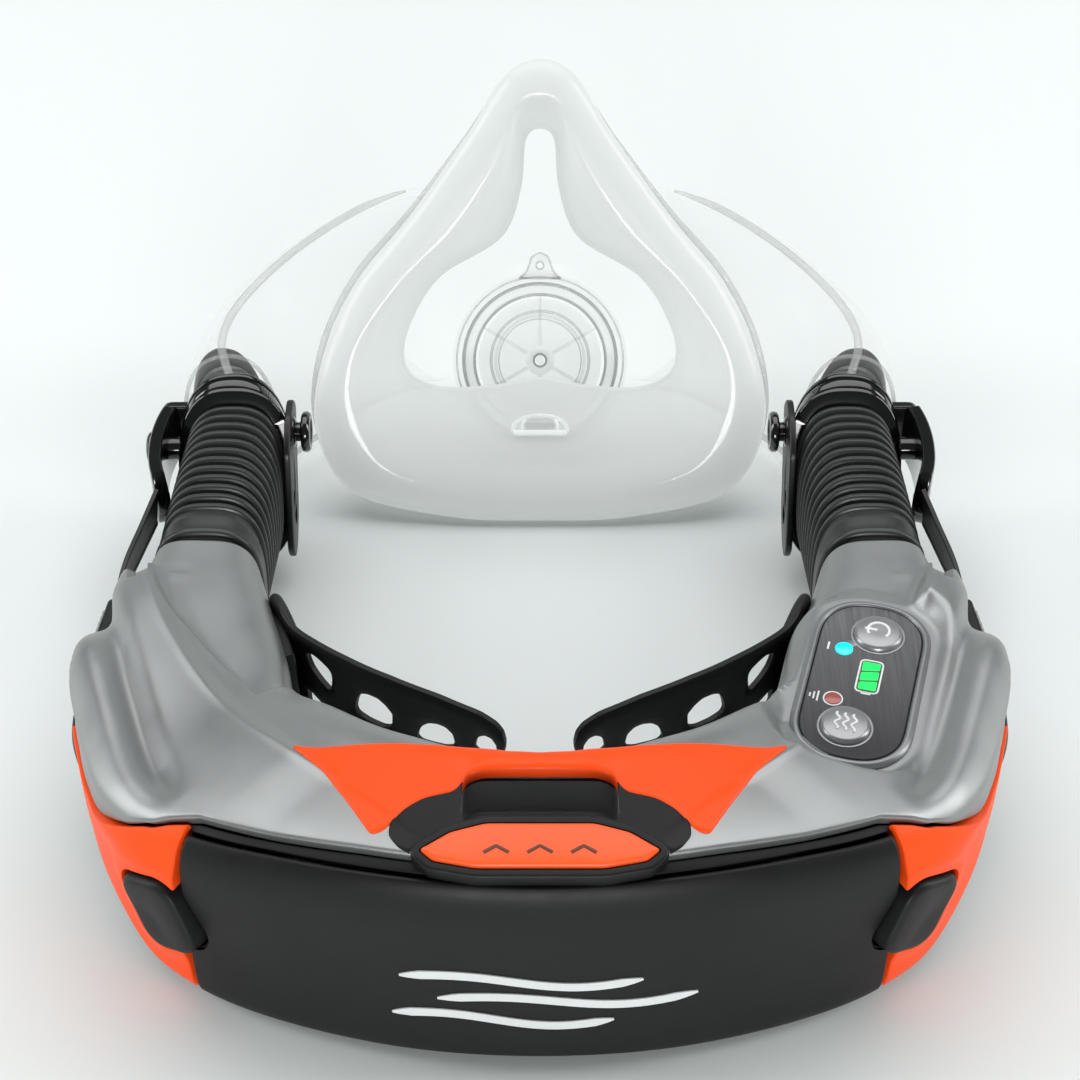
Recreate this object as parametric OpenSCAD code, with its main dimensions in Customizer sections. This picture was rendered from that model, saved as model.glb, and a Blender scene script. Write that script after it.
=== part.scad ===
// Neck-worn powered air respirator: a U-shaped blower unit that sits round the
// neck, two bellows hoses and a clear half mask with a silicone face seal.
// Millimetres. +Y points from the back of the neck to the face, +Z is up.
// The unit and the mask's chin both stand on Z = 0.

/* [Blower unit] */
// Width across the shoulders of the U-shaped housing
shoulder_w = 214; // [208:1:220]
// Height of the housing at the back of the neck
rear_h = 60; // [56:0.5:62]
// Height of the top of the arms
arm_h = 50; // [47:0.5:52]
// Wall of the moulded housing shells
wall = 2.2; // [1.6:0.1:2.6]
// Gap left between neighbouring mouldings
gap = 0.35; // [0.3:0.05:0.6]

/* [Keypad] */
// Length of the keypad bezel
pad_l = 54; // [50:1:56]
// Width of the keypad bezel
pad_w = 28; // [26:1:30]
// Diameter of the two push buttons
button_d = 12; // [10:0.5:13]
// Travel of the push buttons
button_travel = 0.8; // [0.5:0.1:1]

/* [Hoses] */
// Width of the bellows hose
hose_w = 27; // [25:0.5:29]
// Height of the bellows hose at the housing
hose_h = 40; // [37:0.5:42]
// Number of bellows ridges
ridges = 10; // [8:1:12]
// Height of each ridge
ridge_h = 1.8; // [1:0.1:2.2]

/* [Mask] */
// Half width of the face seal
seal_hw = 62.5; // [58:0.5:65]
// Thickness of the silicone
seal_t = 1.5; // [1:0.1:1.8]
// Wall of the clear shell
shell_t = 2; // [1.6:0.1:2.4]
// Lean of the seal plane from upright
mask_lean = 26; // [24:1:28]
// Radius of the exhale valve seat
valve_r = 22; // [20:0.5:23]
// Radius of the head of each harness stud
stud_head_r = 5.5; // [5:0.25:6]

/* [Charging] */
// Radius of the charging socket
socket_r = 2.8; // [2.5:0.1:3.2]

/* [Hidden] */

// The model is drawn with the mask's chin near Y = 0 and moved so that the
// middle of its footprint is the origin.
y_shift = 48.6;
module place() translate([0, y_shift, 0]) children();

// ---------- small maths ----------
function sp(c, e) = sign(c) * pow(abs(c), e);
function cr(p0, p1, p2, p3, t) = 0.5 * (2 * p1 + (p2 - p0) * t + (2 * p0 - 5 * p1 + 4 * p2 - p3) * t * t
  + (3 * p1 - p0 - 3 * p2 + p3) * t * t * t);
function unit(v) = v / norm(v);
function flip(p) = [-p[0], p[1], p[2]];

// ---------- solids from a function f(u, v, k) ----------
// open patch: k = 0 is one face of the wall and k = 1 the other
module slab(nu, nv, f) {
  function id(i, j, k) = (i * (nv + 1) + j) * 2 + k;
  e = 0.02;
  s = cross(f(0.5 + e, 0.5, 0) - f(0.5, 0.5, 0), f(0.5, 0.5 + e, 0) - f(0.5, 0.5, 0)) * (f(0.5, 0.5, 1) - f(0.5, 0.5, 0));
  pts = [for (i = [0:nu]) for (j = [0:nv]) for (k = [0:1]) f(i / nu, j / nv, k)];
  function q(a, b, c, d) = s > 0 ? [[a, b, c], [a, c, d]] : [[c, b, a], [d, c, a]];
  faces = [
    for (i = [0:nu - 1]) for (j = [0:nv - 1]) each q(id(i, j, 0), id(i + 1, j, 0), id(i + 1, j + 1, 0), id(i, j + 1, 0)),
    for (i = [0:nu - 1]) for (j = [0:nv - 1]) each q(id(i, j, 1), id(i, j + 1, 1), id(i + 1, j + 1, 1), id(i + 1, j, 1)),
    for (i = [0:nu - 1]) each q(id(i, 0, 0), id(i, 0, 1), id(i + 1, 0, 1), id(i + 1, 0, 0)),
    for (i = [0:nu - 1]) each q(id(i, nv, 0), id(i + 1, nv, 0), id(i + 1, nv, 1), id(i, nv, 1)),
    for (j = [0:nv - 1]) each q(id(0, j, 0), id(0, j + 1, 0), id(0, j + 1, 1), id(0, j, 1)),
    for (j = [0:nv - 1]) each q(id(nu, j, 0), id(nu, j, 1), id(nu, j + 1, 1), id(nu, j + 1, 0))];
  polyhedron(points = pts, faces = faces, convexity = 12);
}
// wall closed round in v, open at both ends in u
module tube(nu, nv, f) {
  function id(i, j, k) = (i * nv + j % nv) * 2 + k;
  e = 0.02;
  s = cross(f(0.5 + e, 0.5, 0) - f(0.5, 0.5, 0), f(0.5, 0.5 + e, 0) - f(0.5, 0.5, 0)) * (f(0.5, 0.5, 1) - f(0.5, 0.5, 0));
  pts = [for (i = [0:nu]) for (j = [0:nv - 1]) for (k = [0:1]) f(i / nu, j / nv, k)];
  function q(a, b, c, d) = s > 0 ? [[a, b, c], [a, c, d]] : [[c, b, a], [d, c, a]];
  faces = [
    for (i = [0:nu - 1]) for (j = [0:nv - 1]) each q(id(i, j, 0), id(i + 1, j, 0), id(i + 1, j + 1, 0), id(i, j + 1, 0)),
    for (i = [0:nu - 1]) for (j = [0:nv - 1]) each q(id(i, j, 1), id(i, j + 1, 1), id(i + 1, j + 1, 1), id(i + 1, j, 1)),
    for (j = [0:nv - 1]) each q(id(0, j, 0), id(0, j + 1, 0), id(0, j + 1, 1), id(0, j, 1)),
    for (j = [0:nv - 1]) each q(id(nu, j, 0), id(nu, j, 1), id(nu, j + 1, 1), id(nu, j + 1, 0))];
  polyhedron(points = pts, faces = faces, convexity = 12);
}
// solid closed round in v, capped at both ends in u
module loft(nu, nv, g) {
  function id(i, j) = i * nv + j % nv;
  pts = concat([for (i = [0:nu]) for (j = [0:nv - 1]) g(i / nu, j / nv)], [g(0, -1), g(1, -1)]);
  c0 = (nu + 1) * nv;
  e = 0.02;
  s = cross(g(0.5 + e, 0.25) - g(0.5, 0.25), g(0.5, 0.25 + e) - g(0.5, 0.25)) * ((g(0.5, 0.75) - g(0.5, 0.25)));
  function q(a, b, c, d) = s > 0 ? [[a, b, c], [a, c, d]] : [[c, b, a], [d, c, a]];
  function tr(a, b, c) = s > 0 ? [a, b, c] : [c, b, a];
  faces = [
    for (i = [0:nu - 1]) for (j = [0:nv - 1]) each q(id(i, j), id(i + 1, j), id(i + 1, j + 1), id(i, j + 1)),
    for (j = [0:nv - 1]) tr(c0, id(0, j), id(0, j + 1)),
    for (j = [0:nv - 1]) tr(c0 + 1, id(nu, j + 1), id(nu, j))];
  polyhedron(points = pts, faces = faces, convexity = 12);
}
module both(side) if (side > 0) children(); else mirror([1, 0, 0]) children();

// ---------- the U-shaped housing ----------
// stations from the middle of the back (0) to the end of an arm (6):
// outer x, outer y, inner x, inner y, low z, high z, squareness
hw = shoulder_w / 2;
st = [
  [0, -174, 0, -135, 1.5, rear_h, 0.36],
  [39, -170, 30, -126, 1.5, rear_h - 0.5, 0.36],
  [76, -157, 46, -114, 2, rear_h - 4, 0.38],
  [hw - 9, -136, 56, -104, 4, arm_h + 1.5, 0.42],
  [hw, -103, 60, -88, 7, arm_h, 0.46],
  [hw - 4.5, -76, 65, -71, 8.5, arm_h - 0.5, 0.52],
  [hw - 9.5, -53, 70, -54, 8, arm_h - 1.5, 0.58]];
function sv(i) = let (s = i < 0 ? -1 : 1, k = abs(i), r = k <= 6 ? st[k] : 2 * st[6] - st[5])
  [s * r[0], r[1], s * r[2], r[3], r[4], r[5], r[6]];
function stn(t) = let (i = min(max(floor(t), -6), 5), f = t - i) cr(sv(i - 1), sv(i), sv(i + 1), sv(i + 2), f);
// point on the housing at station t and section angle a, o below the skin:
// 0 is the outer side, 90 the top, 180 the neck side, 270 the underside
function sec(t, a, o) = let (v = stn(t), O = [v[0], v[1]], I = [v[2], v[3]], C = (O + I) / 2, L = norm(O - I),
    n = (O - I) / L, w = (L / 2 - o) * sp(cos(a), v[6]), h = ((v[5] - v[4]) / 2 - o) * sp(sin(a), v[6]))
  [C[0] + n[0] * w, C[1] + n[1] * w, (v[4] + v[5]) / 2 + h];

// section angle at x across the section on its top half, and at height z
function ax(t, x) = let (v = stn(t), L = norm([v[0] - v[2], v[1] - v[3]])) acos(min(1, sp(2 * x / L, 1 / v[6])));
function axf(t, f, d) = let (v = stn(t), L = norm([v[0] - v[2], v[1] - v[3]])) ax(t, f * L / 2 + d);
function az(t, z) = let (v = stn(t)) asin(sp((2 * z - v[4] - v[5]) / (v[5] - v[4]), 1 / v[6]));
// where the mouldings meet, by station; d moves the edge towards the outer side
function lip(t, d) = abs(t) < 2.35 ? axf(t, lookup(abs(t), [[0, 0.655], [1, 0.668], [2, 0.731], [2.35, 0.872]]), d)
  : az(t, lookup(abs(t), [[2.35, 51.2], [2.7, 45.5], [3, 39.6], [3.5, 35.1], [4, 34], [4.3, 32.5], [4.6, 28], [5, 22], [6, 17.4]]) - d);
function cov(t, d) = axf(t, lookup(abs(t), [[0, 0.8], [1.5, 0.8], [2.3, 0.84]]), d);
function bot(t, d) = abs(t) < 2.2 ? -axf(t, lookup(abs(t), [[0, 0.865], [2.2, 0.87]]), d)
  : az(t, lookup(abs(t), [[2.2, 5.4], [2.5, 8], [2.8, 15], [3.1, 21], [3.5, 27], [4, 32.2], [4.1, 33.2], [4.3, 32.5], [4.6, 28], [5, 22], [6, 17.4]]) + d);
a_in = 196;
// the hip that swells out of each arm behind the strap buckle
function hip(t, a) = lookup(abs(t), [[3.3, 0], [3.7, 0.8], [4.1, 2.6], [4.4, 4], [4.58, 4.4], [4.7, 0.4], [4.74, 0]])
  * lookup(a > 180 ? a - 360 : a, [[-80, 0], [-45, 0.6], [-15, 1], [5, 1], [25, 0.7], [42, 0.3], [60, 0]]);

// pocket under the orange bridge for the fingers
fr_x = 17; fr_y0 = -159; fr_y1 = -142; fr_z = 47;

kp_c = [73.8, -105.6, arm_h + 0.4];
kp_turn = -15.3;
module keypad_frame() translate(kp_c) rotate([0, 0, kp_turn]) children();
module pill(l, w, r) offset(r = r) square([w - 2 * r, l - 2 * r], center = true);

module upper_housing() place() color([0.60, 0.61, 0.62]) difference() {
  union() {
    slab(52, 14, function (u, v, k) let (t = -6 + 12 * u, a0 = lip(t, -0.15), a = a0 + (a_in - a0) * v) sec(t, a, k * wall - hip(t, a)));
    difference() {
      translate([-fr_x - 1.6, fr_y0 - 1.2, fr_z - 1.6]) cube([2 * fr_x + 3.2, fr_y1 - fr_y0 + 2.8, rear_h - fr_z - 0.6]);
      translate([-50, -200, rear_h - 1.6]) cube([100, 100, 20]);
    }
  }
  translate([-fr_x, fr_y0, fr_z]) cube([2 * fr_x, fr_y1 - fr_y0, 30]);
  badge_frame() translate([0, 0, -0.1]) linear_extrude(8) boat(54.6, 12.6);
  keypad_frame() translate([0, 0, -6]) linear_extrude(20) pill(pad_l + 2 * gap, pad_w + 2 * gap, 12);
}
module lower_housing() place() color([0.07, 0.07, 0.075]) difference() {
  slab(52, 12, function (u, v, k) let (t = -6 + 12 * u, a0 = a_in + 0.8, a1 = 360 + bot(t, -0.2), a = a0 + (a1 - a0) * v) sec(t, a, k * wall - hip(t, a)));
  translate([-81, -94, -5]) cylinder(r = 6.2, h = 18, $fn = 48);
  for (s = [-1, 1]) for (p = screw_p) translate([s * p[0], p[1], -5]) cylinder(r = 2.9, h = 20, $fn = 24);
}
module filter_bay_frame() place() color([0.08, 0.08, 0.085]) {
  slab(26, 2, function (u, v, k) let (t = -2.2 + 4.4 * u, a0 = cov(t, -0.25), a1 = lip(t, 0.15)) sec(t, a0 + (a1 - a0) * v, 0.1 + k * 4));
  difference() {
    arc_band(arc_r - 18, arc_r - 16.4, 4.4, 45, 58);
    for (s = [-1, 1]) translate([s * 44, -152, 26]) rotate([90, 0, 0]) cylinder(r = 11, h = 20, center = true, $fn = 64);
  }
}
// rows of the guard are evenly spaced in height, which the section angle is not
function gd_a(t, a0, a1, v) = let (e = stn(t)[6], s0 = sp(sin(a0), e), s1 = sp(sin(a1), e)) asin(sp(s0 + (s1 - s0) * v, 1 / e));
module side_guard(side) place() color([1.0, 0.36, 0.14]) both(side) {
  difference() {
    slab(16, 8, function (u, v, k) let (t = 2.28 + 1.68 * u, a0 = bot(t, 0.2), a1 = lip(t, 0.2), a = gd_a(t, a0, a1, v)) sec(t, a, -0.8 + k * (wall + 0.8) - hip(t, a)));
    latch_pocket();
  }
  latch_pin(0.65, 25);
}
module side_guard_left() side_guard(-1);
module side_guard_right() side_guard(1);

// orange bridge over the finger pocket
function tr_a0(t) = lookup(abs(t), [[0, 104], [0.3, 102], [0.5, 92], [0.72, 62], [0.9, 56], [1.05, 60], [1.35, 82], [1.75, 112]]);
function tr_o(t) = lookup(abs(t), [[0, -6], [0.45, -5.6], [0.7, -3.4], [1, -2.4], [1.4, -1.4], [1.75, -0.5]]);
function tr_b(t) = lookup(abs(t), [[0, -2.2], [0.45, -2], [0.7, -0.3], [1.75, -0.1]]);
module top_trim() place() color([1.0, 0.36, 0.14])
  difference() {
    slab(38, 6, function (u, v, k) let (t = -1.72 + 3.44 * u, a0 = tr_a0(t), a1 = 138) sec(t, a0 + (a1 - a0) * v, k == 0 ? tr_o(t) : tr_b(t)));
    badge_frame() translate([0, 0, -4]) linear_extrude(20) boat(55.4, 13.4);
  }

// badge-shaped release button on its plinth, in front of the finger pocket
module badge_frame() translate([0, -165, rear_h - 0.4]) rotate([14, 0, 0]) children();
module boat(w, d) polygon([[-w / 2, 0], [-w / 2 + 4, -d * 0.35], [-w / 4, -d / 2], [w / 4, -d / 2], [w / 2 - 4, -d * 0.35], [w / 2, 0],
  [w / 2 - 9, d * 0.4], [w / 5, d / 2], [-w / 5, d / 2], [-w / 2 + 9, d * 0.4]]);
module badge_plinth() place() color([0.06, 0.06, 0.06]) difference() {
  badge_frame() difference() {
    translate([0, 0, 0.2]) linear_extrude(3.4) boat(54, 12);
    translate([0, 0, 1.2]) linear_extrude(5) boat(50.8, 9.6);
  }
  // relief over the rim of the filter bay and the top edge of the cover
  translate([-40, -175, rear_h - 10]) cube([80, 8.6, 10.2]);
  translate([-40, -175, rear_h - 10]) cube([80, 5.4, 11.6]);
}
module release_button() place() color([1.0, 0.33, 0.12]) badge_frame() translate([0, 0, 3]) linear_extrude(3) boat(50, 8.8);

// ---------- keypad ----------
module keypad_bezel() place() color([0.72, 0.73, 0.74]) keypad_frame() translate([0, 0, -3.4]) difference() {
  linear_extrude(5) pill(pad_l, pad_w, 12);
  translate([0, 0, 1.2]) linear_extrude(5) pill(pad_l - 2.4, pad_w - 2.4, 10.8);
  translate([0, 0, -1]) linear_extrude(5) pill(pad_l - 8, pad_w - 8, 8);
}
pb = [1.3, 15.5]; tb = [-1.3, -15.5];
module keypad_panel() place() color([0.12, 0.12, 0.13]) keypad_frame() translate([0, 0, -2]) difference() {
  linear_extrude(3) pill(pad_l - 3, pad_w - 3, 10.5);
  for (p = [pb, tb]) translate([p[0], p[1], -1]) cylinder(r = button_d / 2 + 0.35, h = 6, $fn = 64);
  translate([-5.6, 9, -1]) cylinder(r = 2.2, h = 6, $fn = 32);
  translate([1.5, 1.5, -1]) linear_extrude(6) pill(9.4, 6.4, 1.2);
  translate([-5.4, -7.6, -1]) cylinder(r = 2.2, h = 6, $fn = 32);
}
module button(p) place() color([0.78, 0.79, 0.8]) keypad_frame() translate([p[0], p[1], -1]) rotate_extrude($fn = 64)
  polygon([[0, 0], [button_d / 2, 0], [button_d / 2, 2.4], [button_d / 2 - 0.6, 3], [button_d / 3, 3.3], [0, 3.5]]);
module power_button() button(pb);
module test_button() button(tb);
module power_lens() place() color([0.1, 0.85, 0.95]) keypad_frame() translate([-5.6, 9, -1.6]) cylinder(r = 2.15, h = 2.7, $fn = 32);
module battery_lens() place() color([0.1, 0.85, 0.35]) keypad_frame() translate([1.5, 1.5, -1.6]) linear_extrude(2.7) pill(9.3, 6.3, 1.2);
module filter_lens() place() color([0.45, 0.16, 0.12]) keypad_frame() translate([-5.4, -7.6, -1.6]) cylinder(r = 2.15, h = 2.7, $fn = 32);

// ---------- neck pads ----------
// flexible ladder pad from its hook at the arm to its free end at the back
np = [[64.3, -69, 0], [60, -78, 0], [50, -87, 0], [37, -95, 0], [22, -101, 0], [8, -106, 0]];
function npc(t) = let (i = min(max(floor(t), 0), 4), f = t - i, a = np[max(i - 1, 0)], b = np[i], c = np[i + 1], d = np[min(i + 2, 5)]) cr(a, b, c, d, f);
function npn(t) = let (d = npc(min(t + 0.1, 5)) - npc(max(t - 0.1, 0))) unit([-d[1], d[0], 0]);
function np_hi(t) = lookup(t, [[0.7, 42], [1.5, 42.7], [3.1, 43], [3.9, 41], [4.5, 39.5], [4.85, 36], [5, 32]]);
function np_lo(t) = lookup(t, [[0.7, 17.5], [3, 18], [4, 20], [4.6, 22], [4.85, 25], [5, 29]]);
// holes of the ladder as station and height along the pad
np_holes = [[[1.45, 38], [1.66, 38.8], [1.96, 36.9], [2.03, 35], [1.98, 29.3], [1.76, 30.6], [1.56, 33]],
  [[1.42, 24.6], [1.6, 24], [1.97, 20.8], [1.95, 19.2], [1.42, 19.4]],
  [[2.66, 34.4], [2.9, 34.8], [3.14, 31], [3.09, 25.6], [2.86, 25.1], [2.5, 26.2], [2.46, 28], [2.56, 33]],
  [[3.52, 25], [3.62, 30], [3.72, 31.6], [3.98, 31.8], [4.12, 29.6], [4.08, 25.4], [3.96, 24.4], [3.58, 24.2]],
  [[4.42, 26.6], [4.46, 31], [4.56, 32.4], [4.72, 31.6], [4.8, 28.6], [4.66, 26.2]]];
module np_cut(h) let (n = len(h)) polyhedron(
  points = [for (p = h) for (k = [-1, 1]) npc(p[0]) + npn(p[0]) * 5 * k + [0, 0, p[1]]],
  faces = [[for (i = [0:n - 1]) 2 * i], [for (i = [n - 1:-1:0]) 2 * i + 1], for (i = [0:n - 1]) [2 * i, 2 * i + 1, (2 * i + 3) % (2 * n), (2 * i + 2) % (2 * n)]]);
module neck_pad(side) place() color([0.03, 0.03, 0.03]) both(side) {
  difference() {
    slab(24, 2, function (u, v, k) let (t = (0.74 + 0.32 * v) * (1 - u) + 5 * u) npc(t) + npn(t) * (1.1 - 2.2 * k) + [0, 0, np_lo(t) + (np_hi(t) - np_lo(t)) * v]);
    for (h = np_holes) np_cut(h);
  }
  // hook at the arm
  slab(8, 2, function (u, v, k) let (t = 1.2 * u) npc(t) + npn(t) * (1.2 - 2.4 * k) + [0, 0, 37.4 + 1.4 * u + (v - 0.5) * 5]);
}
module neck_pad_left() neck_pad(-1);
module neck_pad_right() neck_pad(1);
module pad_anchor(side) place() color([0.05, 0.05, 0.05]) both(side) difference() {
  slab(10, 4, function (u, v, k) let (t = 4.1 + 1.3 * u) sec(t, 166 + 26 * v, -2.2 + k * 2));
  slab(8, 1, function (u, v, k) let (t = 1.6 * u) npc(t) + npn(t) * (1.6 - 3.2 * k) + [0, 0, 6 + 50 * v]);
}
module pad_anchor_left() pad_anchor(-1);
module pad_anchor_right() pad_anchor(1);

// ---------- hoses ----------
// hose section frame at u = 0 (housing) to 1 (mask)
hc0 = [84, -53, 28.3]; hc1 = [81.5, -8, 28.5];
h_tilt = 24;
function hose_c(u) = hc0 + (hc1 - hc0) * u + [0, 0, 0.6 * sin(180 * u)];
function hose_t(u) = h_tilt * u;
function hose_p(u, a, dr) = let (c = hose_c(u), q = hose_t(u), w = hose_w / 2 + dr, h = hose_h / 2 * (1 + 0.1 * u) + dr,
    x = sp(cos(a), 0.72) * w, z = sp(sin(a), 0.72) * h) c + [x, z * sin(q), z * cos(q)];
function saw(u) = ridge_h * (0.5 - 0.5 * cos(360 * ridges * u));
u0 = 0.2;
module bellows(side) place() color([0.12, 0.12, 0.12]) both(side)
  tube(ridges * 2, 20, function (u, v, k) hose_p(u0 + (0.985 - u0) * u, 360 * v, -ridge_h + saw(u) - k * 1.4));
module bellows_left() bellows(-1);
module bellows_right() bellows(1);
module hose_cuff(side) place() color([0.2, 0.2, 0.2]) both(side)
  tube(3, 24, function (u, v, k) hose_p(0.02 + (u0 - 0.03) * u, 360 * v, 0.2 - k * (ridge_h + 1.6)));
module hose_cuff_left() hose_cuff(-1);
module hose_cuff_right() hose_cuff(1);

// ---------- side straps ----------
sp_p = [[99.9, -27.4, 36.2], [102.5, -40, 35.2], [hw - 1.8, -54, 34.4], [hw - 0.46, -67, 31.8]];
function spc(t) = let (i = min(max(floor(t), 0), 2), f = t - i) cr(sp_p[max(i - 1, 0)], sp_p[i], sp_p[i + 1], sp_p[min(i + 2, 3)], f);
module strap(side) place() color([0.04, 0.04, 0.04]) both(side)
  slab(12, 1, function (u, v, k) let (c = spc(3 * u)) c + [0.6 - 1.2 * k, 0, 7 * (2 * v - 1)]);
module strap_left() strap(-1);
module strap_right() strap(1);
module strap_buckle(side) place() color([0.06, 0.06, 0.06]) both(side) translate([hw + 0.2, -73.4, 31.5]) rotate([0, 0, 6]) {
  difference() {
    translate([-1.6, -8.2, -9]) cube([3.4, 16.4, 18]);
    translate([-0.8, 1, -8.1]) cube([1.6, 20, 16.2]);
  }
  for (i = [0:3]) translate([1.8, -5.4 + i * 2.4, 0]) cylinder(r = 0.7, h = 13, center = true, $fn = 16);
}
module strap_buckle_left() strap_buckle(-1);
module strap_buckle_right() strap_buckle(1);

// ---------- inside the housing ----------
module battery_cells() place() color([0.25, 0.45, 0.75]) for (z = [14.8, 33]) translate([0, -145.1, z]) rotate([90, 0, 0]) linear_extrude(12.8, center = true) pill(17, 54, 3);
module battery_holder() place() color([0.1, 0.1, 0.1]) for (s = [-1, 1]) translate([s * 29.6, -145.1, 24.4]) cube([4, 13, 34], center = true);
bl = [-68, -131, 0];
module volute_lower() place() color([0.15, 0.15, 0.16]) translate([bl[0], bl[1], 9]) {
  difference() {
    cylinder(r = 18.5, h = 12, $fn = 96);
    translate([0, 0, 1.6]) cylinder(r = 17, h = 20, $fn = 96);
    cylinder(r = 5.2, h = 10, center = true, $fn = 48);
  }
}
module volute_upper() place() color([0.17, 0.17, 0.18]) translate([bl[0], bl[1], 21.2]) difference() {
  cylinder(r = 18.5, h = 12, $fn = 96);
  translate([0, 0, -1]) cylinder(r = 17, h = 11.5, $fn = 96);
  cylinder(r = 9.5, h = 60, center = true, $fn = 64);
}
module motor_stator() place() color([0.7, 0.45, 0.2]) translate([bl[0], bl[1], 11]) difference() {
  cylinder(r = 7.4, h = 7, $fn = 64);
  cylinder(r = 3.7, h = 30, center = true, $fn = 48);
}
module motor_bearings() place() color([0.8, 0.8, 0.82]) translate([bl[0], bl[1], 0]) for (z = [11, 15.2]) translate([0, 0, z]) difference() {
  cylinder(r = 3.6, h = 2.6, $fn = 48);
  cylinder(r = 1.53, h = 20, center = true, $fn = 48);
}
module rotor_shaft() place() color([0.85, 0.85, 0.86]) translate([bl[0], bl[1], 10.8]) cylinder(r = 1.5, h = 16.6, $fn = 48);
module impeller() place() color([0.75, 0.76, 0.78]) translate([bl[0], bl[1], 19.4]) {
  difference() {
    union() {
      cylinder(r = 15.6, h = 1.4, $fn = 96);
      cylinder(r = 4.4, h = 8, $fn = 48);
      for (i = [0:10]) rotate([0, 0, i * 360 / 11]) translate([8.2, 0, 0]) rotate([0, 0, 32]) translate([0, -0.5, 0]) cube([7.4, 1, 7.5]);
    }
    translate([0, 0, -1]) cylinder(r = 1.49, h = 30, $fn = 48);
  }
}
module cross_duct() place() color([0.13, 0.13, 0.14]) difference() {
  slab(16, 6, function (u, v, k) let (t = 2.9 + 2.7 * u) sec(t, 192 + 150 * v, wall + 3 + k * 1.2));
  for (p = screw_p) translate([p[0], p[1], 0]) cylinder(r = 3, h = 17, $fn = 24);
}
module main_board() place() color([0.05, 0.35, 0.15]) keypad_frame() translate([0, 0, -7]) {
  linear_extrude(1.6) pill(pad_l - 10, pad_w - 8, 6);
  for (p = [pb, tb]) translate([p[0], p[1], 1.6]) cylinder(r = 3, h = 4.4 - button_travel - gap, $fn = 32);
}
module charge_socket() place() color([0.1, 0.1, 0.1]) translate([-81, -94, 6.4]) difference() {
  cylinder(r = 5.8, h = 12, $fn = 64);
  translate([0, 0, -1]) cylinder(r = socket_r, h = 10, $fn = 64);
}
screw_p = [[37, -134, 2.7], [86, -112, 6.8], [84, -72, 10.4]];
module case_screws() place() color([0.6, 0.6, 0.62]) for (s = [-1, 1]) for (p = screw_p)
  translate([s * p[0], p[1], p[2]]) {
    cylinder(r = 1.3, h = 9, $fn = 24);
    cylinder(r = 2.6, h = 1.6, $fn = 32);
  }
module base_feet() place() color([0.05, 0.05, 0.05]) for (s = [-1, 1]) for (p = [[18, -153], [52, -143]]) translate([s * p[0], p[1], 0]) cylinder(r = 4, h = 1.4, $fn = 48);

// ---------- filter cover and cartridge ----------
module filter_cover() place() color([0.05, 0.05, 0.055]) difference() {
  slab(34, 12, function (u, v, k) let (t = -2.24 + 4.48 * u, a0 = bot(t, 0.25), a1 = cov(t, 0.25)) sec(t, a0 + (a1 - a0) * v, -0.9 + k * (wall + 0.9)));
  for (s = [-1, 1]) both(s) latch_pocket();
}
module arc_band(r0, r1, z0, z1, half) translate([0, 0, z0]) intersection() {
  translate([0, arc_y, 0]) difference() { cylinder(r = r1, h = z1 - z0, $fn = 180); translate([0, 0, -1]) cylinder(r = r0, h = 90, $fn = 180); }
  translate([-half, -250, -1]) cube([2 * half, 120, 90]);
}
// the cartridge follows the arc of the rear cover
arc_r = 214; arc_y = arc_r - 174;
module filter_frame() place() color([0.85, 0.85, 0.86]) difference() {
  arc_band(arc_r - 15, arc_r - 4.6, 10, 44, 56);
  arc_band(arc_r - 16, arc_r - 1, 12, 42, 54);
}
module filter_media() place() color([0.93, 0.93, 0.9]) difference() {
  arc_band(arc_r - 14.2, arc_r - 5.6, 12.3, 41.7, 53.7);
  for (i = [-17:17]) for (o = [0, 1]) translate([0, arc_y, 0]) rotate([0, 0, 0.82 * (i + o / 2)])
    translate([-0.45, -(o == 0 ? arc_r - 8.6 : arc_r - 4), 10]) cube([0.9, 7.4, 40]);
}
module filter_seal() place() color([0.1, 0.1, 0.1]) difference() {
  arc_band(arc_r - 16.2, arc_r - 15.2, 10.5, 43.5, 55.5);
  arc_band(arc_r - 18, arc_r - 13, 13, 41, 53);
}
// latch tab at each end of the cover
latch_z = 25; latch_p = sec(2.27, 0, 0);
module latch_frame() translate([latch_p[0], latch_p[1], latch_z]) rotate([0, 0, 39.5]) rotate([90, 0, 0]) children();
module latch_pocket() latch_frame() translate([0, 0, -12]) linear_extrude(30) pill(18.6, 24.6, 5.8);
// upright pin that each latch turns on
module latch_pin(r, h) latch_frame() translate([7, 0, -1]) rotate([90, 0, 0]) cylinder(r = r, h = h, center = true, $fn = 32);
module latch(side) place() color([0.05, 0.05, 0.05]) both(side) difference() {
  latch_frame() translate([0, 0, -2.4]) linear_extrude(5.4) pill(17, 23, 5);
  latch_pin(1, 40);
}
module cover_latch_left() latch(-1);
module cover_latch_right() latch(1);

// ---------- mask ----------
// x across the face, s up the seal plane, n out from the face
function M(p) = [p[0], 3 + p[1] * sin(mask_lean) + p[2] * cos(mask_lean), 2 + p[1] * cos(mask_lean) - p[2] * sin(mask_lean)];
sw = seal_hw / 62.5;
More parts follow.
